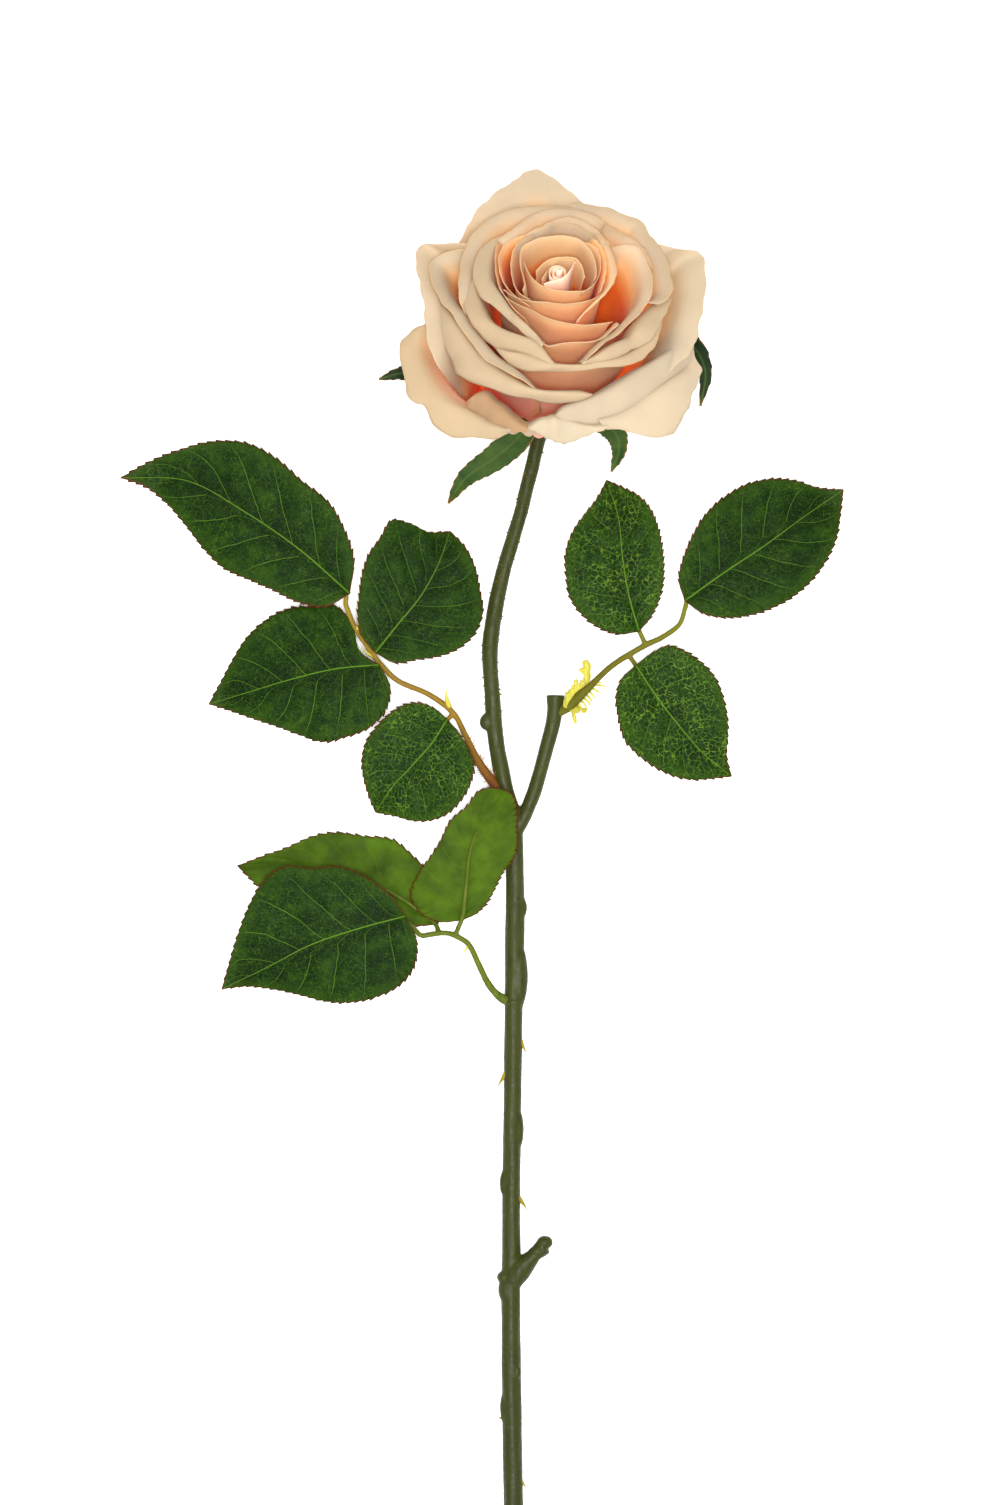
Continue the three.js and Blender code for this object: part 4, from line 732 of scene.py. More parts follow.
def leaf_cloth():
    """Printed leaf cloth: veins, a net between them, painted shade beside the veins and the midrib, a dyed
    edge and a plainer underside.
    """
    tree = Nodes("leaf_cloth")
    place = tree.place()
    rib, rim, fade = tree.attribute("rib"), tree.attribute("rim"), tree.attribute("fade")
    under, share = tree.attribute("under"), tree.attribute("share")
    # Veins; their channel counts up by one from vein to vein
    wander = tree.math("MULTIPLY_ADD", tree.noise(place, 7, 2), 0.16, -0.08)
    phase = tree.math("FRACT", tree.math("ADD", tree.attribute("vein"), wander))
    off_vein = tree.times(tree.math("ABSOLUTE", tree.math("SUBTRACT", phase, 0.5)), 10.0)
    side_vein = tree.times(tree.band(off_vein, 0.04, 0.2, 1.0, 0.0), tree.band(fade, 0.62, 0.97, 1.0, 0.1))
    taper = tree.math("MULTIPLY_ADD", share, -0.5, 0.72)
    midrib = tree.band(tree.math("DIVIDE", rib, taper), 0.22, 0.55, 1.0, 0.0)
    # The printed net between them
    net_place = tree.warped(tree.warped(place, 3, 1.6), 0.9, 0.5)
    net = tree.band(tree.cells(net_place, 1.7), 0.01, 0.085, 1.0, 0.0)
    fine = tree.band(tree.cells(net_place, 1.0), 0.02, 0.14, 1.0, 0.0)
    patch = tree.band(tree.noise(place, 9, 2), 0.36, 0.6, 0.35, 1.0)
    strength = tree.attribute("net")
    broken = tree.band(tree.noise(place, 1.3, 2), 0.4, 0.58, 0.2, 1.0)
    net = tree.times(tree.times(net, tree.times(patch, broken)), strength)
    fine = tree.times(tree.times(fine, 0.35), strength)
    speck = tree.band(tree.noise(place, 0.42, 2, 0.6), 0.57, 0.7, 0.0, 0.7)
    # Upper side
    ground = tree.ramp(tree.noise(tree.warped(place, 6, 4), 5, 4),
                    [(0.25, LEAF_DARK), (0.5, LEAF_MID), (0.78, LEAF_LIGHT)])
    # Painted shade: darker close to the side veins, where the quilted cloth dips into them
    vein_shade = tree.band(off_vein, 0.2, 2.6, 0.4, 0.0)
    ground = tree.mix(vein_shade, ground, LEAF_DARK)
    uneven = tree.band(tree.noise(place, 12, 2), 0.3, 0.6, 0.3, 1.0)
    # Painted shade: darker, unevenly, along the sunken midrib
    middle = tree.times(tree.band(rib, 1.5, 9, 0.7, 0.0), uneven)
    ground = tree.mix(middle, ground, LEAF_DARK)
    ground = tree.mix(tree.band(rim, 0.5, 6, 0.5, 0.0), ground, LEAF_LIGHT)
    top = tree.mix(speck, ground, LEAF_SPECK)
    top = tree.mix(fine, top, LEAF_FINE_NET)
    top = tree.mix(net, top, LEAF_NET)
    top = tree.mix(tree.times(side_vein, 0.65), top, LEAF_VEIN)
    top = tree.mix(tree.times(midrib, 0.8), top, LEAF_VEIN)
    # Lower side, then the edge and the relief of both
    back = tree.ramp(tree.noise(place, 7, 4), [(0.28, BACK_DARK), (0.7, BACK_MID)])
    back = tree.mix(tree.times(side_vein, 0.5), back, BACK_VEIN)
    back = tree.mix(tree.times(net, 0.25), back, BACK_VEIN)
    colour = tree.mix(under, top, back)
    reach = tree.math("MULTIPLY_ADD", tree.noise(place, 1.3, 2), 0.7, 0.15)
    edge = tree.band(tree.math("DIVIDE", rim, reach), 0.5, 1.2, 0.85, 0.0)
    colour = tree.mix(edge, colour, LEAF_EDGE)
    vein_groove = tree.math("MAXIMUM", side_vein, midrib)
    broad = tree.bump(tree.noise(place, 4, 3), 0.5, 0.35)
    grooved = tree.bump(tree.times(tree.math("MAXIMUM", vein_groove, net), -1.0), 0.1, 0.5, broad)
    normal = tree.bump(tree.weave(place, LEAF_THREAD), 0.03, 0.45, grooved)
    rough = tree.band(tree.noise(place, 3, 3), 0.3, 0.7, 0.46, 0.6)
    return tree.finish(colour, rough, 0.04, normal, through=0.06, through_colour=LEAF_GLOW)


WORN = (84, 88, 24)


def moulded(name, stops, span=(-250, 170), rough=0.5, dark=(24, 27, 9), through=0.0, specular=0.06):
    """Satin moulded plastic whose colour changes along Y; stops are shares of the span and colours."""
    tree = Nodes(name)
    place = tree.place()
    sockets = {"Value": tree.axes(place)[1], "From Min": span[0], "From Max": span[1]}
    along = tree.add("MapRange", "Result", sockets)
    wander = tree.math("MULTIPLY_ADD", tree.noise(place, 14, 3), 0.16, -0.08)
    colour = tree.ramp(tree.math("ADD", along, wander), stops)
    drawn = tree.add("Mapping", 0, {"Vector": place, "Scale": [1, 0.12, 1]})
    streak = tree.band(tree.noise(drawn, 1.1, 4, 0.6), 0.42, 0.72, 0.0, 0.5)
    colour = tree.mix(streak, colour, dark)
    wear = tree.band(tree.noise(place, 0.9, 4, 0.65), 0.6, 0.74, 0.0, 0.35)
    colour = tree.mix(wear, colour, WORN)
    grainy = tree.bump(tree.noise(place, 0.5, 4, 0.6), 0.12, 0.5)
    normal = tree.bump(tree.noise(drawn, 1.5, 3), 0.4, 0.3, grainy)
    roughness = tree.band(tree.noise(place, 2, 3), 0.3, 0.7, rough - 0.06, rough + 0.12)
    return tree.finish(colour, roughness, specular, normal, through=through)


def sepal_cloth():
    """Grey-green sepal cloth with a dry edge, and a darker colour that is painted shade."""
    tree = Nodes("sepal_cloth")
    place = tree.place()
    colour = tree.ramp(tree.noise(place, 5, 4), [(0.3, (32, 54, 22)), (0.7, (52, 74, 28))])
    # Painted shade: this darker colour goes only on the upper side of the sepals that lie in shade
    under = tree.ramp(tree.noise(place, 4, 3), [(0.3, (14, 30, 16)), (0.7, (26, 44, 20))])
    colour = tree.mix(tree.attribute("under"), colour, under)
    colour = tree.mix(tree.band(tree.attribute("rib"), 0.1, 0.6, 0.4, 0.0), colour, (70, 88, 38))
    edge = tree.band(tree.attribute("rim"), 0.1, 0.45, 0.7, 0.0)
    colour = tree.mix(edge, colour, (128, 78, 36))
    soft = tree.bump(tree.noise(place, 2, 3), 0.4, 0.4)
    normal = tree.bump(tree.weave(place, LEAF_THREAD), 0.03, 0.5, soft)
    return tree.finish(colour, 0.62, 0.08, normal, through=0.1)


# Bloom

ACROSS = np.array([math.cos(BLOOM_LEAN), -math.sin(BLOOM_LEAN), 0])
AHEAD = np.array([math.sin(BLOOM_LEAN), math.cos(BLOOM_LEAN), 0])
AXIS = AHEAD * math.cos(BLOOM_RISE) + np.array([0, 0, math.sin(BLOOM_RISE)])
BACK = np.cross(AXIS, ACROSS)
PETAL_COLUMNS = 58  # along the traced rim
PETAL_CORNERS = 7  # more columns at either end, where the rim rounds off
PETAL_ROWS = 28
ROLL_ROWS = 9  # across a turned-back edge
PETAL_SPREAD = 0.36  # share of the way to the rim where a petal reaches its full width
CLAW_SHARE = 0.34  # width of its claw, as a share of that
PETAL_THICKNESS = 0.42
RIM_THINNING, RIM_REACH = 0.22, 6  # how much thinner a rim is, and from how far
ROLL_BULGE = 0.12  # rise of a turned-back edge, as a share of its width
SWAY, SWAY_SIZE, SWAY_REACH = 0.9, 13, 14  # waves near a rim: height, length and depth below it
FRAY = 0.12  # unevenness of a rim
CORNER_FALL = -0.26  # how much lower the profile's share is past both ends
LEAST_LAYER, MOST_LAYER = 0.4, 9.4  # span in which the profiles are searched
LEAST_SHARE, MOST_SHARE = 0.4, 1.04
SHARE_FIRMNESS = 12  # how firmly a crest holds to its target shares
CREST_SMOOTHING = 24
TARGET_SPAN = (0.18, 0.82)  # where a crest is at its middle target


def bloom_point(radius, azimuth, height):
    """Points from their radius, azimuth and height on the bloom's axis."""
    radius, azimuth, height = np.broadcast_arrays(radius, azimuth, height)
    return (BLOOM_BASE + ACROSS * (radius * np.cos(azimuth))[..., None]
            + BACK * (radius * np.sin(azimuth))[..., None] + AXIS * height[..., None])


def profile_point(layer, share):
    """Radius and height on the nested petal profiles; shares above 1 run on along the rim."""
    layer, share = np.broadcast_arrays(layer, share)
    s = (layer[..., None] - 1) / 3
    weights = ((s - 1) * (s - 2) / 2, s * (2 - s), s * (s - 1) / 2)
    point = 0
    for weight, knots in zip(weights, (BUD_PROFILE, MIDDLE_PROFILE, GUARD_PROFILE)):
        end = catmull(knots, 1.0)
        beyond = np.maximum(share - 1, 0)[..., None] * (end - catmull(knots, 0.98)) / 0.02
        point = point + weight * (catmull(knots, share) + beyond)
    return point


def sight(plan, level):
    """Points at these heights that the camera sees at the given plan points."""
    centre = np.array(VIEW_CENTRE)
    scale = (CAMERA_HEIGHT - np.asarray(level)) / (CAMERA_HEIGHT - REFERENCE_LEVEL)
    return np.concatenate([centre + (plan - centre) * scale[..., None], np.asarray(level)[..., None]], -1)


def smoothed(values, times):
    """The rows drawn toward their neighbours, in place; the first and the last stay."""
    for _ in range(times):
        values[1:-1] = (values[:-2] + 2 * values[1:-1] + values[2:]) / 4
    return values


def crest_line(plan, wanted, target, lift, firm):
    """Where the lines of sight through the plan points meet the petal profiles.

    Of the profiles and the places on them that a line of sight passes, the nearest to the wanted
    layer and to the target share is taken.
    """
    shares = np.linspace(LEAST_SHARE, MOST_SHARE, 60)
    layers = np.linspace(LEAST_LAYER, MOST_LAYER, 46)
    profile = profile_point(layers[:, None], shares[None, :]) + (0, lift)
    level = np.full(len(plan), 60.0)
    for _ in range(3):
        seen = sight(plan, level) - BLOOM_BASE
        side, ahead = seen @ ACROSS, seen[:, :2] @ AHEAD[:2]
        back = (ahead[:, None, None] - profile[..., 1] * math.cos(BLOOM_RISE)) / math.sin(BLOOM_RISE)
        miss = np.abs(np.hypot(side[:, None, None], back) - profile[..., 0])
        miss = (miss + SHARE_FIRMNESS * np.abs(shares - target[:, None, None])
                + firm * np.abs(layers[None, :, None] - wanted[:, None, None]))
        best = miss.reshape(len(plan), -1).argmin(axis=1)
        layer = smoothed(layers[best // len(shares)], CREST_SMOOTHING)
        share = smoothed(shares[best % len(shares)], CREST_SMOOTHING)
        height = profile_point(layer, share)[:, 1] + lift
        depth = (ahead - height * math.cos(BLOOM_RISE)) / math.sin(BLOOM_RISE)
        level = BLOOM_BASE[2] + height * math.sin(BLOOM_RISE) - depth * math.cos(BLOOM_RISE)
    return np.unwrap(np.arctan2(depth, side)), layer, share, sight(plan, level)


def rounded_ends(values, change):
    """A row carried on past both ends at the slope it has there, with a growing change added."""
    steps = np.arange(1, PETAL_CORNERS + 1) / PETAL_CORNERS
    steps = steps.reshape((-1,) + (1,) * (values.ndim - 1))
    first = values[0] + (values[0] - values[3]) / 3 * 2 * steps + change * steps ** 2
    last = values[-1] + (values[-1] - values[-4]) / 3 * 2 * steps + change * steps ** 2
    return np.concatenate([first[::-1], values, last])


def way_to_rim(grid):
    """Length along the columns of a grid from each of its points to the last row."""
    steps = np.linalg.norm(np.diff(grid, axis=0), axis=2)
    return np.concatenate([np.cumsum(steps[::-1], axis=0)[::-1], np.zeros((1, grid.shape[1]))])


def petal(name, cloth, layers, crest, edge, firm=0.5, targets=(0.72, 0.72, 0.72), lift=0, droop=0.3):
    """A petal from its claw on the receptacle to the crest that the camera sees.

    Firm is how firmly it holds to its layers, targets are the wanted shares of the profile at both
    ends and between, lift raises the crest, and droop lowers the turned-back edge.
    """
    across = np.linspace(0, 1, PETAL_COLUMNS + 1)
    seed = sum(map(ord, name))
    wanted = np.interp(across, [0, 0.5, 1], layers)
    target = np.interp(across, [0, *TARGET_SPAN, 1], [targets[0], targets[1], targets[1], targets[2]])
    azimuth, layer, share, rim = crest_line(catmull(crest, across), wanted, target, lift, firm)
    top = profile_point(layer, share)
    miss = rim - bloom_point(top[:, 0], azimuth, top[:, 1])
    azimuth, share = rounded_ends(azimuth, 0), rounded_ends(share, CORNER_FALL)
    layer = np.clip(rounded_ends(layer, -0.1), LEAST_LAYER, MOST_LAYER)
    miss = rounded_ends(miss, 0)
    way = (1 - (1 - np.linspace(0, 1, PETAL_ROWS + 1)) ** 1.25)[:, None]
    middle = azimuth[len(azimuth) // 2]
    place = way * share
    width = CLAW_SHARE + (1 - CLAW_SHARE) * smoothstep(place, 0, PETAL_SPREAD)
    turn = middle + (azimuth - middle) * width
    point = profile_point(layer[None, :], place)
    grid = bloom_point(point[..., 0], turn, point[..., 1]) + miss * (way ** 3)[..., None]
    depth = way_to_rim(grid)
    if edge:
        seen = catmull(edge, across)
        gap = np.linalg.norm(seen - catmull(crest, across), axis=1)
        cut = sight(seen, rim[:, 2] - droop * gap)
        fade = rounded_ends(np.ones(len(across)), -1)[:, None]
        roll = np.linspace(0, 1, ROLL_ROWS + 1)[1:]
        out = (rounded_ends(cut - rim, 0) * fade)[None] * roll[:, None, None]
        bulge = 4 * roll * (1 - roll)
        out[..., 2] += ROLL_BULGE * bulge[:, None] * np.linalg.norm(out[-1], axis=1)
        grid = np.concatenate([grid, grid[-1:] + out])
        depth = np.concatenate([depth, -np.linalg.norm(out, axis=2)])
        grid = smoothed(grid, 4)
    size = np.clip(np.mean(layer) / 7, 0.15, 1)
    near = np.exp(-np.maximum(depth, 0) / SWAY_REACH)[..., None]
    sway = np.stack([noise_at(grid, SWAY_SIZE, seed + k) for k in range(3)], -1)
    grid = grid + near * sway * SWAY * size
    ripple = 0.25 * np.sin(0.9 * np.arange(len(azimuth)) + seed)
    frayed = RANDOM.uniform(-1, 1, len(azimuth)) * FRAY + ripple
    grid[-1] += unit(grid[-1] - grid[-2]) * (frayed * size)[:, None]
    thickness = PETAL_THICKNESS - RIM_THINNING * np.exp(-np.abs(depth - depth[-1]) / RIM_REACH)
    points, faces, skin = blade(grid, thickness)
    channels = {"depth": np.tile(depth.ravel(), 2), "inner": skin,
                "rim": np.tile(way_to_rim(grid).ravel(), 2),
                "tint": np.full(len(points), RANDOM.uniform(0, 0.12))}
    slot = "heart_petal" if name.startswith(("bud", "heart")) else "petal_fabric"
    nodes = [] if name in EXTRA_FOLDS else [f"petal_{name}"]
    mesh_piece(f"petal_{name}_cloth", points, faces, PETAL_CLOTH[cloth], slot, nodes, channels)


CORE_RADIUS, CORE_GROWTH = 0.5, 2.3
CORE_START, CORE_WOUND = math.radians(200), math.radians(780)
CORE_FOOT, CORE_TOP = 1, 61.2
CORE_FALL, CORE_WAVE = 2.6, 0.7  # of its rim, from the inner end to the outer one
CORE_THICKNESS = 0.3


def bud_core():
    """The rolled sheet in the middle of the bud."""
    turn = np.linspace(0, 1, 121)
    way = np.linspace(0, 1, 25)[:, None]
    rim = CORE_TOP - CORE_FALL * turn + CORE_WAVE * np.sin(9 * turn)
    height = CORE_FOOT + (rim - CORE_FOOT) * way
    flare = 0.25 + 0.75 * smoothstep(way, 0, 0.75) + 0.18 * smoothstep(way, 0.9, 1)
    grid = bloom_point((CORE_RADIUS + CORE_GROWTH * turn) * flare, CORE_START + turn * CORE_WOUND, height)
    points, faces, skin = blade(grid, CORE_THICKNESS)
    depth = np.tile(np.repeat((1 - way) * CLAW_DEPTH, len(turn)), 2)
    channels = {"depth": depth, "inner": skin, "rim": depth, "tint": np.zeros(len(points))}
    mesh_piece("bud_core_cloth", points, faces, PETAL_CLOTH["white"], "heart_petal", ["bud_core"], channels)


# Calyx

SEPAL_ROWS = 72
SEPAL_COLUMNS = 14
SEPAL_THICKNESS = 0.42
SEPAL_TEETH, SEPAL_TOOTH = 13, 0.4  # along an edge, and how far they reach
SEPAL_CURL, SEPAL_WAVE = 0.18, 0.5
SEPAL_LEVEL = 0.1  # the lowest a sepal hangs
SHADED_SEPALS = (2, 3, 4)  # they get the darker colour on their upper side: painted shade, for the shade they lie in under the bloom


def lathe(profile, sides):
    """Body of revolution on the bloom's axis: points and faces."""
    ring = 2 * math.pi * np.arange(sides) / sides
    share = np.linspace(0, 1, 6 * len(profile))
    line = catmull(np.array(profile, float)[::-1], share)
    points = bloom_point(line[:, :1], ring[None, :], line[:, 1:]).reshape(-1, 3)
    return points, ring_faces(np.arange(len(share) * sides).reshape(len(share), sides))


def sepal(number, line, half):
    """Points, faces, skins, distance from the edge and distance from the middle of a sepal."""
    share = np.linspace(0, 1, SEPAL_ROWS + 1)
    centre = catmull(line, share)
    side = unit(np.cross(unit(np.gradient(centre, axis=0)), [0.0, 0.0, 1.0]))
    across = np.linspace(-1, 1, SEPAL_COLUMNS + 1)
    width = np.maximum(half * np.sin(math.pi * share ** 0.62) ** 0.7, 0.3)
    toothed = smoothstep(share, 0.2, 0.4) * (1 - smoothstep(share, 0.9, 1))
    tooth = ((share * SEPAL_TEETH + 0.2 * number) % 1) ** 1.5 * SEPAL_TOOTH * toothed
    spread = width[:, None] * np.abs(across) + tooth[:, None] * np.abs(across) ** 6
    grid = centre[:, None] + side[:, None] * (np.sign(across) * spread)[..., None]
    grid[..., 2] += SEPAL_CURL * spread + SEPAL_WAVE * np.sin(9 * share + number)[:, None] * across ** 2
    points, faces, skin = blade(grid, SEPAL_THICKNESS)
    points[:, 2] = np.maximum(points[:, 2], SEPAL_LEVEL)
    rim = (1 - np.abs(across)) * width[:, None] + tooth[:, None]
    return points, faces, skin, rim, np.abs(across) * width[:, None]


def calyx():
    """The moulded hip and its five sepals."""
    points, faces = lathe(HIP_PROFILE, 56)
    points = points + noise_at(points, 2.2, 3.0)[:, None] * 0.1
    mesh_piece("calyx_hip", points, faces, HIP_PLASTIC, "sepal_fabric", ["calyx"])
    for number, (line, half) in enumerate(SEPALS):
        points, faces, skin, rim, rib = sepal(number, line, half)
        # The shaded sepals get the darker colour on their upper side: painted shade
        channels = {"under": 1 - skin if number in SHADED_SEPALS else skin * 0,
                    "rim": np.tile(rim.ravel(), 2), "rib": np.tile(rib.ravel(), 2)}
        mesh_piece(f"calyx_sepal_{number + 1}", points, faces, SEPAL_CLOTH, "sepal_fabric", (), channels)


# Leaflets

LEAF_END = 0.35  # half width where a blade starts and ends
LEAF_TOOTH = 2.6  # spacing of the teeth
TOOTH_REACH, TOOTH_LEAN = 0.68, 0.5  # outward, and forward as a share of that
LEAF_COLUMNS = 24
LEAF_THICKNESS = 0.36
SIDE_VEINS, VEIN_SLANT = 7.2, 0.24  # along one side of a leaflet
VEIN_DEPTH, VEIN_WIDTH = 0.4, 1.2
MIDRIB_DEPTH, MIDRIB_WIDTH = 0.6, 1.5
LEAF_SWAY = 0.9
BOLD_NETS = ("leaflet_right_2", "leaflet_right_3", "leaflet_left_4")
BOLD_NET, FAINT_NET = 0.55, 0.14  # strength of the printed net on these and on the others
RIB_START, RIB_REACH = 0.03, 0.62  # shares of a leaflet
RIB_ABOVE, RIB_BELOW = 0.9, 1.9  # middle of the rib from the blade, turned or not
RIB_RADIUS, RIB_TAPER = 0.85, 0.5
FRAME_VOXEL = 0.3


def leaf_middle(leaf, share):
    """Points on the midrib."""
    plan = catmull(leaf["middle"], share)
    foot, tip = leaf["ends"]
    height = foot + (tip - foot) * share + leaf["rise"] * 4 * share * (1 - share)
    return np.concatenate([plan, height[..., None]], -1)


def leaf_rows(leaf):
    """Shares along the leaf and the depth of the saw teeth there."""
    foot, tip = leaf["middle"][0], leaf["middle"][-1]
    edge = np.array([foot, *leaf["left"], tip], float)
    teeth = int(round(np.linalg.norm(np.diff(edge, axis=0), axis=1).sum() / LEAF_TOOTH))
    within = np.array([0, 0.3, 0.6, 0.9])
    share = np.append((np.arange(teeth)[:, None] + within).ravel() / teeth, 1.0)
    jitter = np.repeat(RANDOM.uniform(0.7, 1.25, teeth), 4)
    depth = np.append(np.tile([0, 0.28, 0.62, 1.0], teeth) * jitter, 0)
    return share, depth * smoothstep(share, 0.03, 0.12) * (1 - smoothstep(share, 0.97, 1))


def leaf_side(leaf, side, share, middle):
    """Unit vector from the midrib to one edge, how far it is, and the way along it, in the plan."""
    foot, tip = leaf["middle"][0], leaf["middle"][-1]
    edge = catmull([foot, *leaf[side], tip], share)
    reach = np.concatenate([edge - middle[:, :2], np.zeros((len(share), 1))], -1)
    width = np.linalg.norm(reach, axis=1)
    along = np.gradient(middle, axis=0)
    turned = unit(np.stack([along[:, 1], -along[:, 0], 0 * along[:, 0]], -1))
    turned = turned * (1 if side == "right" else -1)
    direction = np.where((width < LEAF_END)[:, None], turned, unit(reach))
    forward = np.concatenate([unit(np.gradient(edge, axis=0)), np.zeros((len(share), 1))], -1)
    return direction, np.maximum(width, LEAF_END), forward


def leaflet(leaf, number):
    """A blade from the midrib out to both serrated edges, with sunken veins and waves."""
    share, tooth = leaf_rows(leaf)
    middle = leaf_middle(leaf, share)
    length = np.linalg.norm(np.diff(middle, axis=0), axis=1).sum()
    half = LEAF_COLUMNS // 2
    out = (np.arange(half + 1) / half) ** 0.85
    columns, channels = [], {key: [] for key in ("rib", "rim", "vein", "fade")}
    for side, slope, offset in (("left", leaf["slopes"][0], 0.0), ("right", leaf["slopes"][1], 0.45)):
        direction, width, forward = leaf_side(leaf, side, share, middle)
        across = out[None, :] * width[:, None]
        points = middle[:, None] + direction[:, None] * across[..., None]
        outward = TOOTH_REACH * tooth[:, None] * out ** 8
        points = (points + direction[:, None] * outward[..., None]
                  + TOOTH_LEAN * forward[:, None] * outward[..., None])
        vein = (share[:, None] - VEIN_SLANT * out ** 0.9) * SIDE_VEINS + offset
        off = np.abs(vein % 1 - 0.5) * length / SIDE_VEINS
        relief = (-VEIN_DEPTH * np.exp(-(off / VEIN_WIDTH) ** 2) * (1 - out ** 3)
                  - MIDRIB_DEPTH * np.exp(-(across / MIDRIB_WIDTH) ** 2))
        sway = LEAF_SWAY * np.sin(7.5 * share + 1.7 * number + 2.4 * offset)[:, None] * out ** 2
        points[..., 2] += slope * across + relief + sway * smoothstep(share, 0.05, 0.3)[:, None]
        columns.append(points)
        for key, values in zip(channels, (across, width[:, None] * (1 - out), vein,
                                          np.broadcast_to(out, across.shape))):
            channels[key].append(values)

    def join(pair):
        return np.concatenate([pair[0][:, :0:-1], pair[1]], axis=1)

    grid = join(columns)
    grid[..., 2] = np.maximum(grid[..., 2] + 0.35 * noise_at(grid, 11.0, number), 0.3)
    points, faces, skin = blade(grid, LEAF_THICKNESS, upright=(0, 0, 1))
    data = {key: np.tile(join(pair).ravel(), 2) for key, pair in channels.items()}
    data["share"] = np.tile(np.repeat(share, grid.shape[1]), 2)
    data["under"] = 1 - skin if leaf["turned"] else skin
    data["net"] = np.full(len(points), BOLD_NET if leaf["name"] in BOLD_NETS else FAINT_NET)
    slot = "leaf_underside" if leaf["turned"] else "leaf_fabric"
    mesh_piece(leaf["name"] + "_cloth", points, faces, LEAF_CLOTH, slot, [leaf["name"]], data)


def leaf_frame(spec, material):
    """Petiole, rachis and the moulded rib behind each leaflet."""
    def petiole_radius(share, centre):
        return table_value(spec["radii"], share)

    def rib_radius(share, centre):
        return RIB_RADIUS - RIB_TAPER * share

    bodies = [ring_path(spec["line"], petiole_radius, sides=18, rings=90, rough=0.08, seed=5.0)]
    line = catmull(spec["line"], np.linspace(0, 1, 200))
    for index in spec["leaflets"]:
        leaf = LEAFLETS[index]
        foot = leaf_middle(leaf, np.array([0.0]))[0]
        start = line[np.argmin(np.linalg.norm((line - foot)[:, :2], axis=1))]
        path = leaf_middle(leaf, RIB_START + RIB_REACH * np.arange(6) / 5)
        path[:, 2] += RIB_ABOVE if leaf["turned"] else -RIB_BELOW
        bodies.append(ring_path(np.vstack([start, path]), rib_radius, sides=12, rings=60))
    points, faces = fused(spec["name"], bodies, FRAME_VOXEL, relax=2)
    points = points + 0.06 * noise_at(points, 1.5, 2.0)[:, None]
    mesh_piece(spec["name"] + "_plastic", points, faces, material, "rachis_plastic", [spec["name"]])


# Stem

CAD_STEM_SIDES = 10  # the CAD's stem lies on one of them
FLAT = math.cos(math.pi / CAD_STEM_SIDES)  # middle of a side, per radius
STEM_VOXEL = 0.42
BEND_ANGLES = (math.radians(20), math.radians(40), BLOOM_RISE)
DENTS, GRAIN = 0.22, 0.06  # unevenness of the stem, coarse and fine
PRICKLES = 120
PRICKLED = (66, 160)  # where they are, in y
HAIRS = 46
TAB_HALF = 0.25  # half the thickness of a torn edge


def stem_line():
    """Middle of the stem on the table and round the bend up to the hip."""
    lying = [(x, y, table_value(STEM_RADII, y) * FLAT) for x, y in STEM_LINE]
    end = BLOOM_BASE - AXIS * (HIP_DEPTH + NECK_GAP)
    for angle in BEND_ANGLES:
        level = NECK_RADIUS * (math.sin(BLOOM_RISE) - math.sin(angle))
        fall = NECK_RADIUS * (math.cos(angle) - math.cos(BLOOM_RISE))
        lying.append((end[0] - level * math.sin(BLOOM_LEAN), end[1] - level * math.cos(BLOOM_LEAN),
                      end[2] - fall))
    return lying


def stem():
    """Stem, side shoot, sawn stub and knots as one moulding with an uneven surface."""
    def stem_radius(share, centre):
        return table_value(STEM_RADII, centre[:, 1])

    def shoot_radius(share, centre):
        return table_value(SHOOT_RADII, share)

    def stub_radius(share, centre):
        return table_value(STUB_RADII, share)

    bodies = [ring_path(stem_line(), stem_radius, sides=28, rings=420),
              ring_path(SHOOT_LINE, shoot_radius, sides=24, rings=60),
              ring_path(STUB_LINE, stub_radius, sides=24, rings=40)]
    bodies += [ellipsoid(centre, halves) for centre, halves in KNOTS]
    points, faces = fused("stem", bodies, STEM_VOXEL, relax=4)
    push = noise_at(points * (1, 0.25, 1), 3.2, 1.0) * DENTS + noise_at(points, 1.3, 8.0) * GRAIN
    line = catmull(stem_line(), np.linspace(0, 1, 600))
    nearest = line[np.clip(np.searchsorted(line[:, 1], points[:, 1]), 0, len(line) - 1)]
    points = points + unit((points - nearest) * (1, 0, 1)) * push[:, None]
    points[:, 2] = np.maximum(points[:, 2], 0.0)
    mesh_piece("stem_plastic", points, faces, STEM_PLASTIC, "stem_plastic", ["stem"])


def prickles():
    """Fine prickles along the upper stem."""
    path = catmull(stem_line(), np.linspace(0, 1, 900))
    bodies = []
    for _ in range(PRICKLES):
        y = RANDOM.uniform(*PRICKLED)
        k = min(int(np.searchsorted(path[:, 1], y)), len(path) - 2)
        centre, along = path[k], unit(path[k + 1] - path[k])
        side = unit(np.cross(along, [0.0, 0.0, 1.0]))
        turn = RANDOM.uniform(-0.35, math.pi + 0.35)
        spoke = side * math.cos(turn) + np.cross(side, along) * math.sin(turn)
        radius = float(table_value(STEM_RADII, centre[1]))
        size = RANDOM.uniform(0.35, 0.95)
        foot = centre + spoke * (radius - 0.25)
        tip = centre + spoke * (radius + size) - along * size * RANDOM.uniform(0.1, 0.7)
        bodies.append(spike(foot, tip, 0.34))
    mesh_piece("stem_prickles", *merged(bodies), PRICKLE_PLASTIC, "stem_plastic")


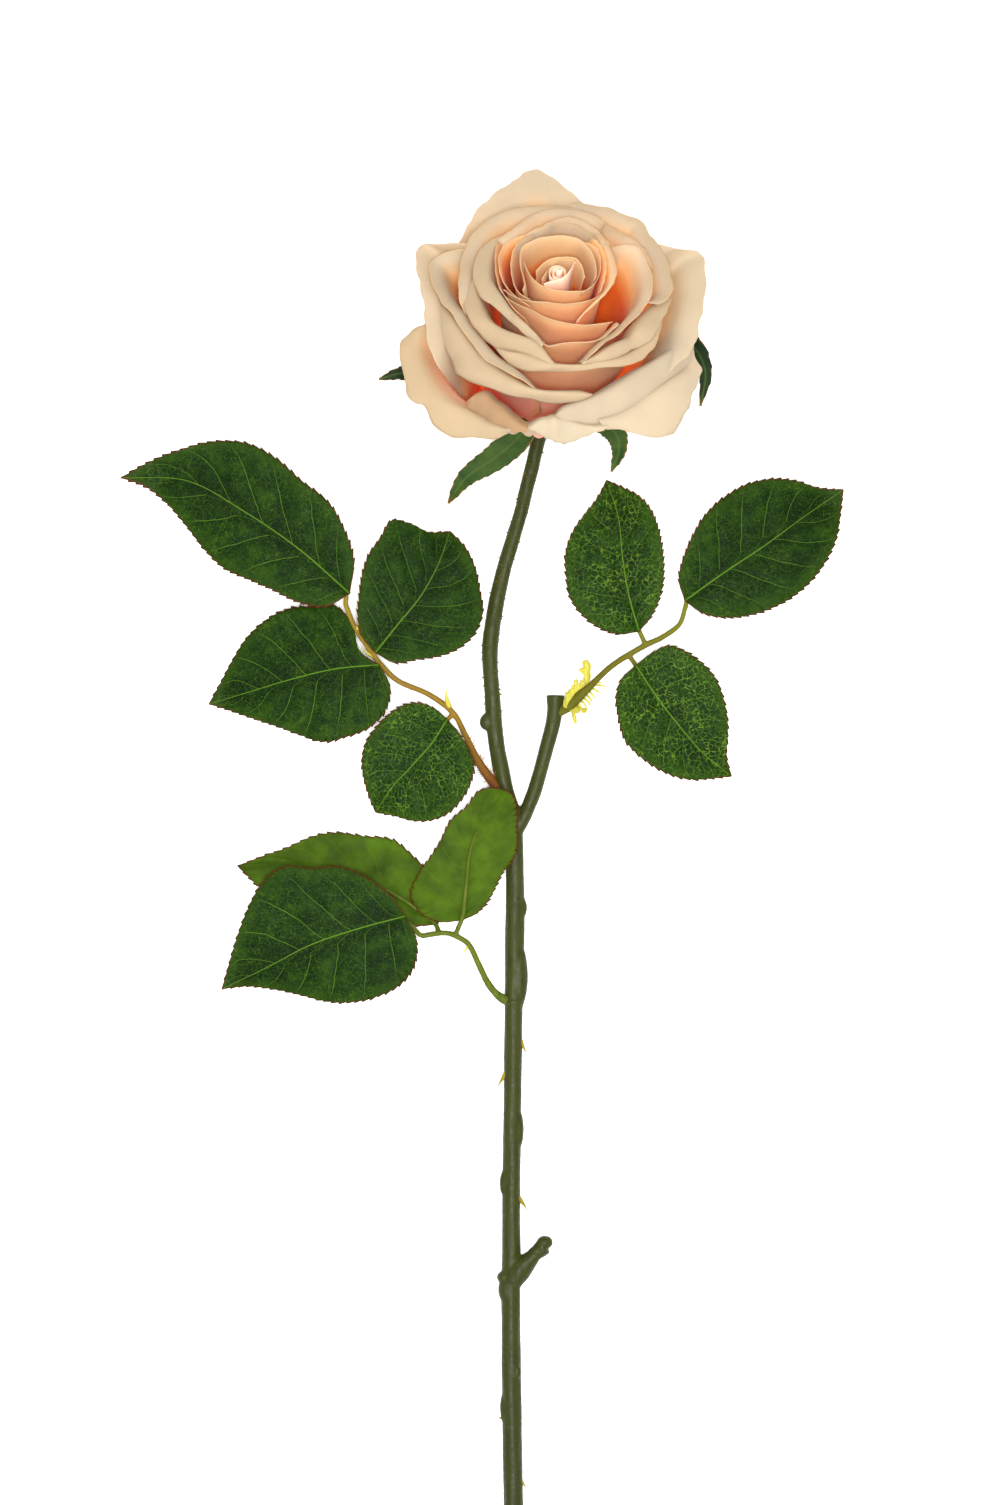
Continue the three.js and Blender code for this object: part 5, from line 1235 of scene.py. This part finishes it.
def thorns():
    """The flat thorns, each sunk into the stem by a third of its length."""
    bodies = []
    for foot, tip, radius in THORNS:
        foot, tip = np.array(foot), np.array(tip)
        bodies.append(spike(foot - 0.35 * (tip - foot), tip, radius, bend=(0, 0.35, 0), sides=14, rings=14))
    points, faces = merged(bodies)
    points[:, 2] = np.maximum(points[:, 2], 0.05)
    mesh_piece("stem_thorns", points, faces, THORN_PLASTIC, "stem_plastic")


def tab(outline, level, tilt):
    """Flat scrap of moulding flash with a ragged outline, rising to the left."""
    plan = np.array(outline, float)
    plan = catmull([*plan, plan[0]], np.linspace(0, 1, 6 * len(plan) + 1))[:-1]
    plan = plan + 0.12 * np.stack([noise_at(np.c_[plan, plan[:, 0]], 0.8, k) for k in (1, 2)], -1)
    height = level + tilt * (plan[:, 0].mean() - plan[:, 0]) + 0.3 * np.sin(1.3 * plan[:, 1])
    points = np.vstack([np.c_[plan, height + TAB_HALF], np.c_[plan, height - TAB_HALF]])
    count = len(plan)
    faces = [list(range(count)), list(range(2 * count - 1, count - 1, -1))]
    faces += [[k, count + k, count + (k + 1) % count, (k + 1) % count] for k in range(count)]
    return points, faces


def stipules():
    """Torn yellow sheath and comb on the right petiole, and small stipules on the others."""
    def tooth_radius(share, centre):
        return TOOTH_RADIUS - TOOTH_TAPER * share

    bodies = [tab(outline, level, tilt) for level, tilt, outline in STIPULE_TABS]
    for foot, tip in zip(STIPULE_TEETH[::2], STIPULE_TEETH[1::2]):
        middle = ((foot[0] + tip[0]) / 2, (foot[1] + tip[1]) / 2 + 0.25)
        line = [(*foot, TOOTH_LEVEL), (*middle, TOOTH_LEVEL + 0.4), (*tip, TOOTH_LEVEL)]
        bodies.append(ring_path(line, tooth_radius, sides=10, rings=8))
    mesh_piece("stipules_right", *merged(bodies), STIPULE_PLASTIC, "rachis_plastic")
    small = [spike(*row) for row in SMALL_STIPULES]
    mesh_piece("stipules_left", *merged(small), STIPULE_PLASTIC, "rachis_plastic")


def petiole_hairs():
    """Fine hairs to both sides of the left petiole."""
    line = catmull(LEAF_FRAMES[0]["line"], np.linspace(0.02, 0.3, 40))
    bodies = []
    for _ in range(HAIRS):
        k = RANDOM.integers(2, 38)
        along = unit(line[k + 1] - line[k - 1])
        side = np.array([along[1], -along[0], 0.0]) * RANDOM.choice([-1, 1])
        tip = (line[k] + side * RANDOM.uniform(2.4, 4.2) + along * RANDOM.uniform(0, 2.5)
               + (0, 0, RANDOM.uniform(0, 1.5)))
        bodies.append(spike(line[k] + side * 0.9, tip, 0.16, sides=6))
    mesh_piece("petiole_hairs", *merged(bodies), HAIR_PLASTIC, "rachis_plastic")


# Table, light and camera

VIEW_CENTRE = (5.83, 55.8)
VIEW_HEIGHT = 501.7  # what the picture shows from top to bottom
CAMERA_HEIGHT = 4000
SENSOR = 36
REFERENCE_LEVEL = 12  # height at which the picture's scale holds
TABLE_HALF, TABLE_LEVEL = 6, -0.0002  # metres
# Lamps in metres and watts: name, place, target, size, power
LAMPS = [
    ("key", (-0.6, -0.9, 2.8), (0, 0.1, 0), 1.4, 28), ("front", (0.1, -2.0, 2.1), (0, 0.15, 0), 1.8, 40),
    ("back", (0.5, 1.0, 2.9), (0, 0.1, 0), 1.4, 26), ("fill", (0.05, -0.05, 3.7), (0, 0.1, 0), 0.8, 145)]


def stage():
    """The plain pale table."""
    tree = Nodes("table_top")
    place = tree.place()
    colour = tree.ramp(tree.noise(place, 60, 2), [(0, (246, 246, 244)), (1, (250, 250, 249))])
    tree.finish(colour, 0.9, 0.1)
    mesh = bpy.data.meshes.new("table_top")
    corners = [(x * TABLE_HALF, y * TABLE_HALF, TABLE_LEVEL)
               for x, y in ((-1, -1), (1, -1), (1, 1), (-1, 1))]
    mesh.from_pydata(corners, [], [(0, 1, 2, 3)])
    mesh.materials.append(tree.material)
    top = bpy.data.objects.new("table_top", mesh)
    bpy.context.scene.collection.objects.link(top)


def lamp(name, place, target, size, power):
    """Round area lamp that shines at the target and isn't seen itself."""
    light = bpy.data.lights.new(name, "AREA")
    light.shape = "DISK"
    light.size = size
    light.energy = power
    holder = bpy.data.objects.new(name, light)
    holder.location = place
    holder.rotation_mode = "QUATERNION"
    holder.rotation_quaternion = (Vector(target) - Vector(place)).to_track_quat("-Z", "Y")
    holder.visible_camera = False
    bpy.context.scene.collection.objects.link(holder)


def camera():
    """Camera straight above, framed as the photo is."""
    data = bpy.data.cameras.new("camera")
    data.sensor_width = SENSOR
    data.lens = SENSOR * (CAMERA_HEIGHT - REFERENCE_LEVEL) / VIEW_HEIGHT
    data.clip_start, data.clip_end = 0.05, 40
    holder = bpy.data.objects.new("camera", data)
    holder.location = (VIEW_CENTRE[0] * MM, VIEW_CENTRE[1] * MM, CAMERA_HEIGHT * MM)
    bpy.context.scene.collection.objects.link(holder)
    bpy.context.scene.camera = holder


def world():
    """Even white surroundings."""
    scene = bpy.context.scene
    if scene.world is None:
        scene.world = bpy.data.worlds.new("world")
    scene.world.use_nodes = True
    background = scene.world.node_tree.nodes["Background"]
    background.inputs["Color"].default_value = (1.0, 1.0, 1.0, 1)
    background.inputs["Strength"].default_value = 1.0
    scene.view_settings.view_transform = "Standard"


PETAL_CLOTH = {kind: petal_cloth("petal_cloth_" + kind, *stops) for kind, stops in PETAL_COLOURS.items()}
LEAF_CLOTH = leaf_cloth()
SEPAL_CLOTH = sepal_cloth()
HIP_PLASTIC = moulded("hip_plastic", [(0, (46, 64, 22)), (1, (60, 78, 30))])
STEM_PLASTIC = moulded("stem_plastic", [(0, (33, 41, 10)), (0.45, (42, 45, 9)), (0.75, (44, 49, 14)),
                                        (1, (42, 46, 12))], rough=0.42, specular=0.12)
PRICKLE_PLASTIC = moulded("prickle_plastic", [(0, (74, 70, 24)), (1, (84, 72, 26))])
THORN_PLASTIC = moulded("thorn_plastic", [(0, (132, 118, 30)), (1, (146, 128, 36))], dark=(96, 90, 26),
                        through=0.3)
RACHIS_PLASTIC = {
    "leaf_frame_left": moulded("rachis_left", [(0, (84, 42, 18)), (0.3, (108, 82, 22)), (1, (114, 98, 26))],
                               span=(42, 105), dark=(96, 66, 34)),
    "leaf_frame_right": moulded("rachis_right", [(0, (66, 68, 8)), (0.4, (76, 70, 11)), (1, (94, 94, 19))],
                                span=(68, 105), dark=(84, 84, 30)),
    "leaf_frame_low": moulded("rachis_low", [(0, (56, 68, 14)), (0.5, (72, 82, 16)), (1, (62, 74, 14))],
                              span=(-28, 0), dark=(84, 92, 36))}
STIPULE_PLASTIC = moulded("stipule_plastic", [(0, (196, 188, 72)), (1, (206, 198, 92))], span=(60, 90),
                          dark=(168, 158, 50), through=0.45)
HAIR_PLASTIC = moulded("hair_plastic", [(0, (150, 96, 60)), (1, (196, 160, 110))], span=(40, 66),
                       through=0.3)

camera()
world()
stage()
for row in LAMPS:
    lamp(*row)
for name, cloth, layers, options, crest, edge in PETALS:
    petal(name, cloth, layers, crest, edge, **options)
bud_core()
calyx()
for number, leaf in enumerate(LEAFLETS):
    leaflet(leaf, number)
for spec in LEAF_FRAMES:
    leaf_frame(spec, RACHIS_PLASTIC[spec["name"]])
stem()
prickles()
thorns()
stipules()
petiole_hairs()
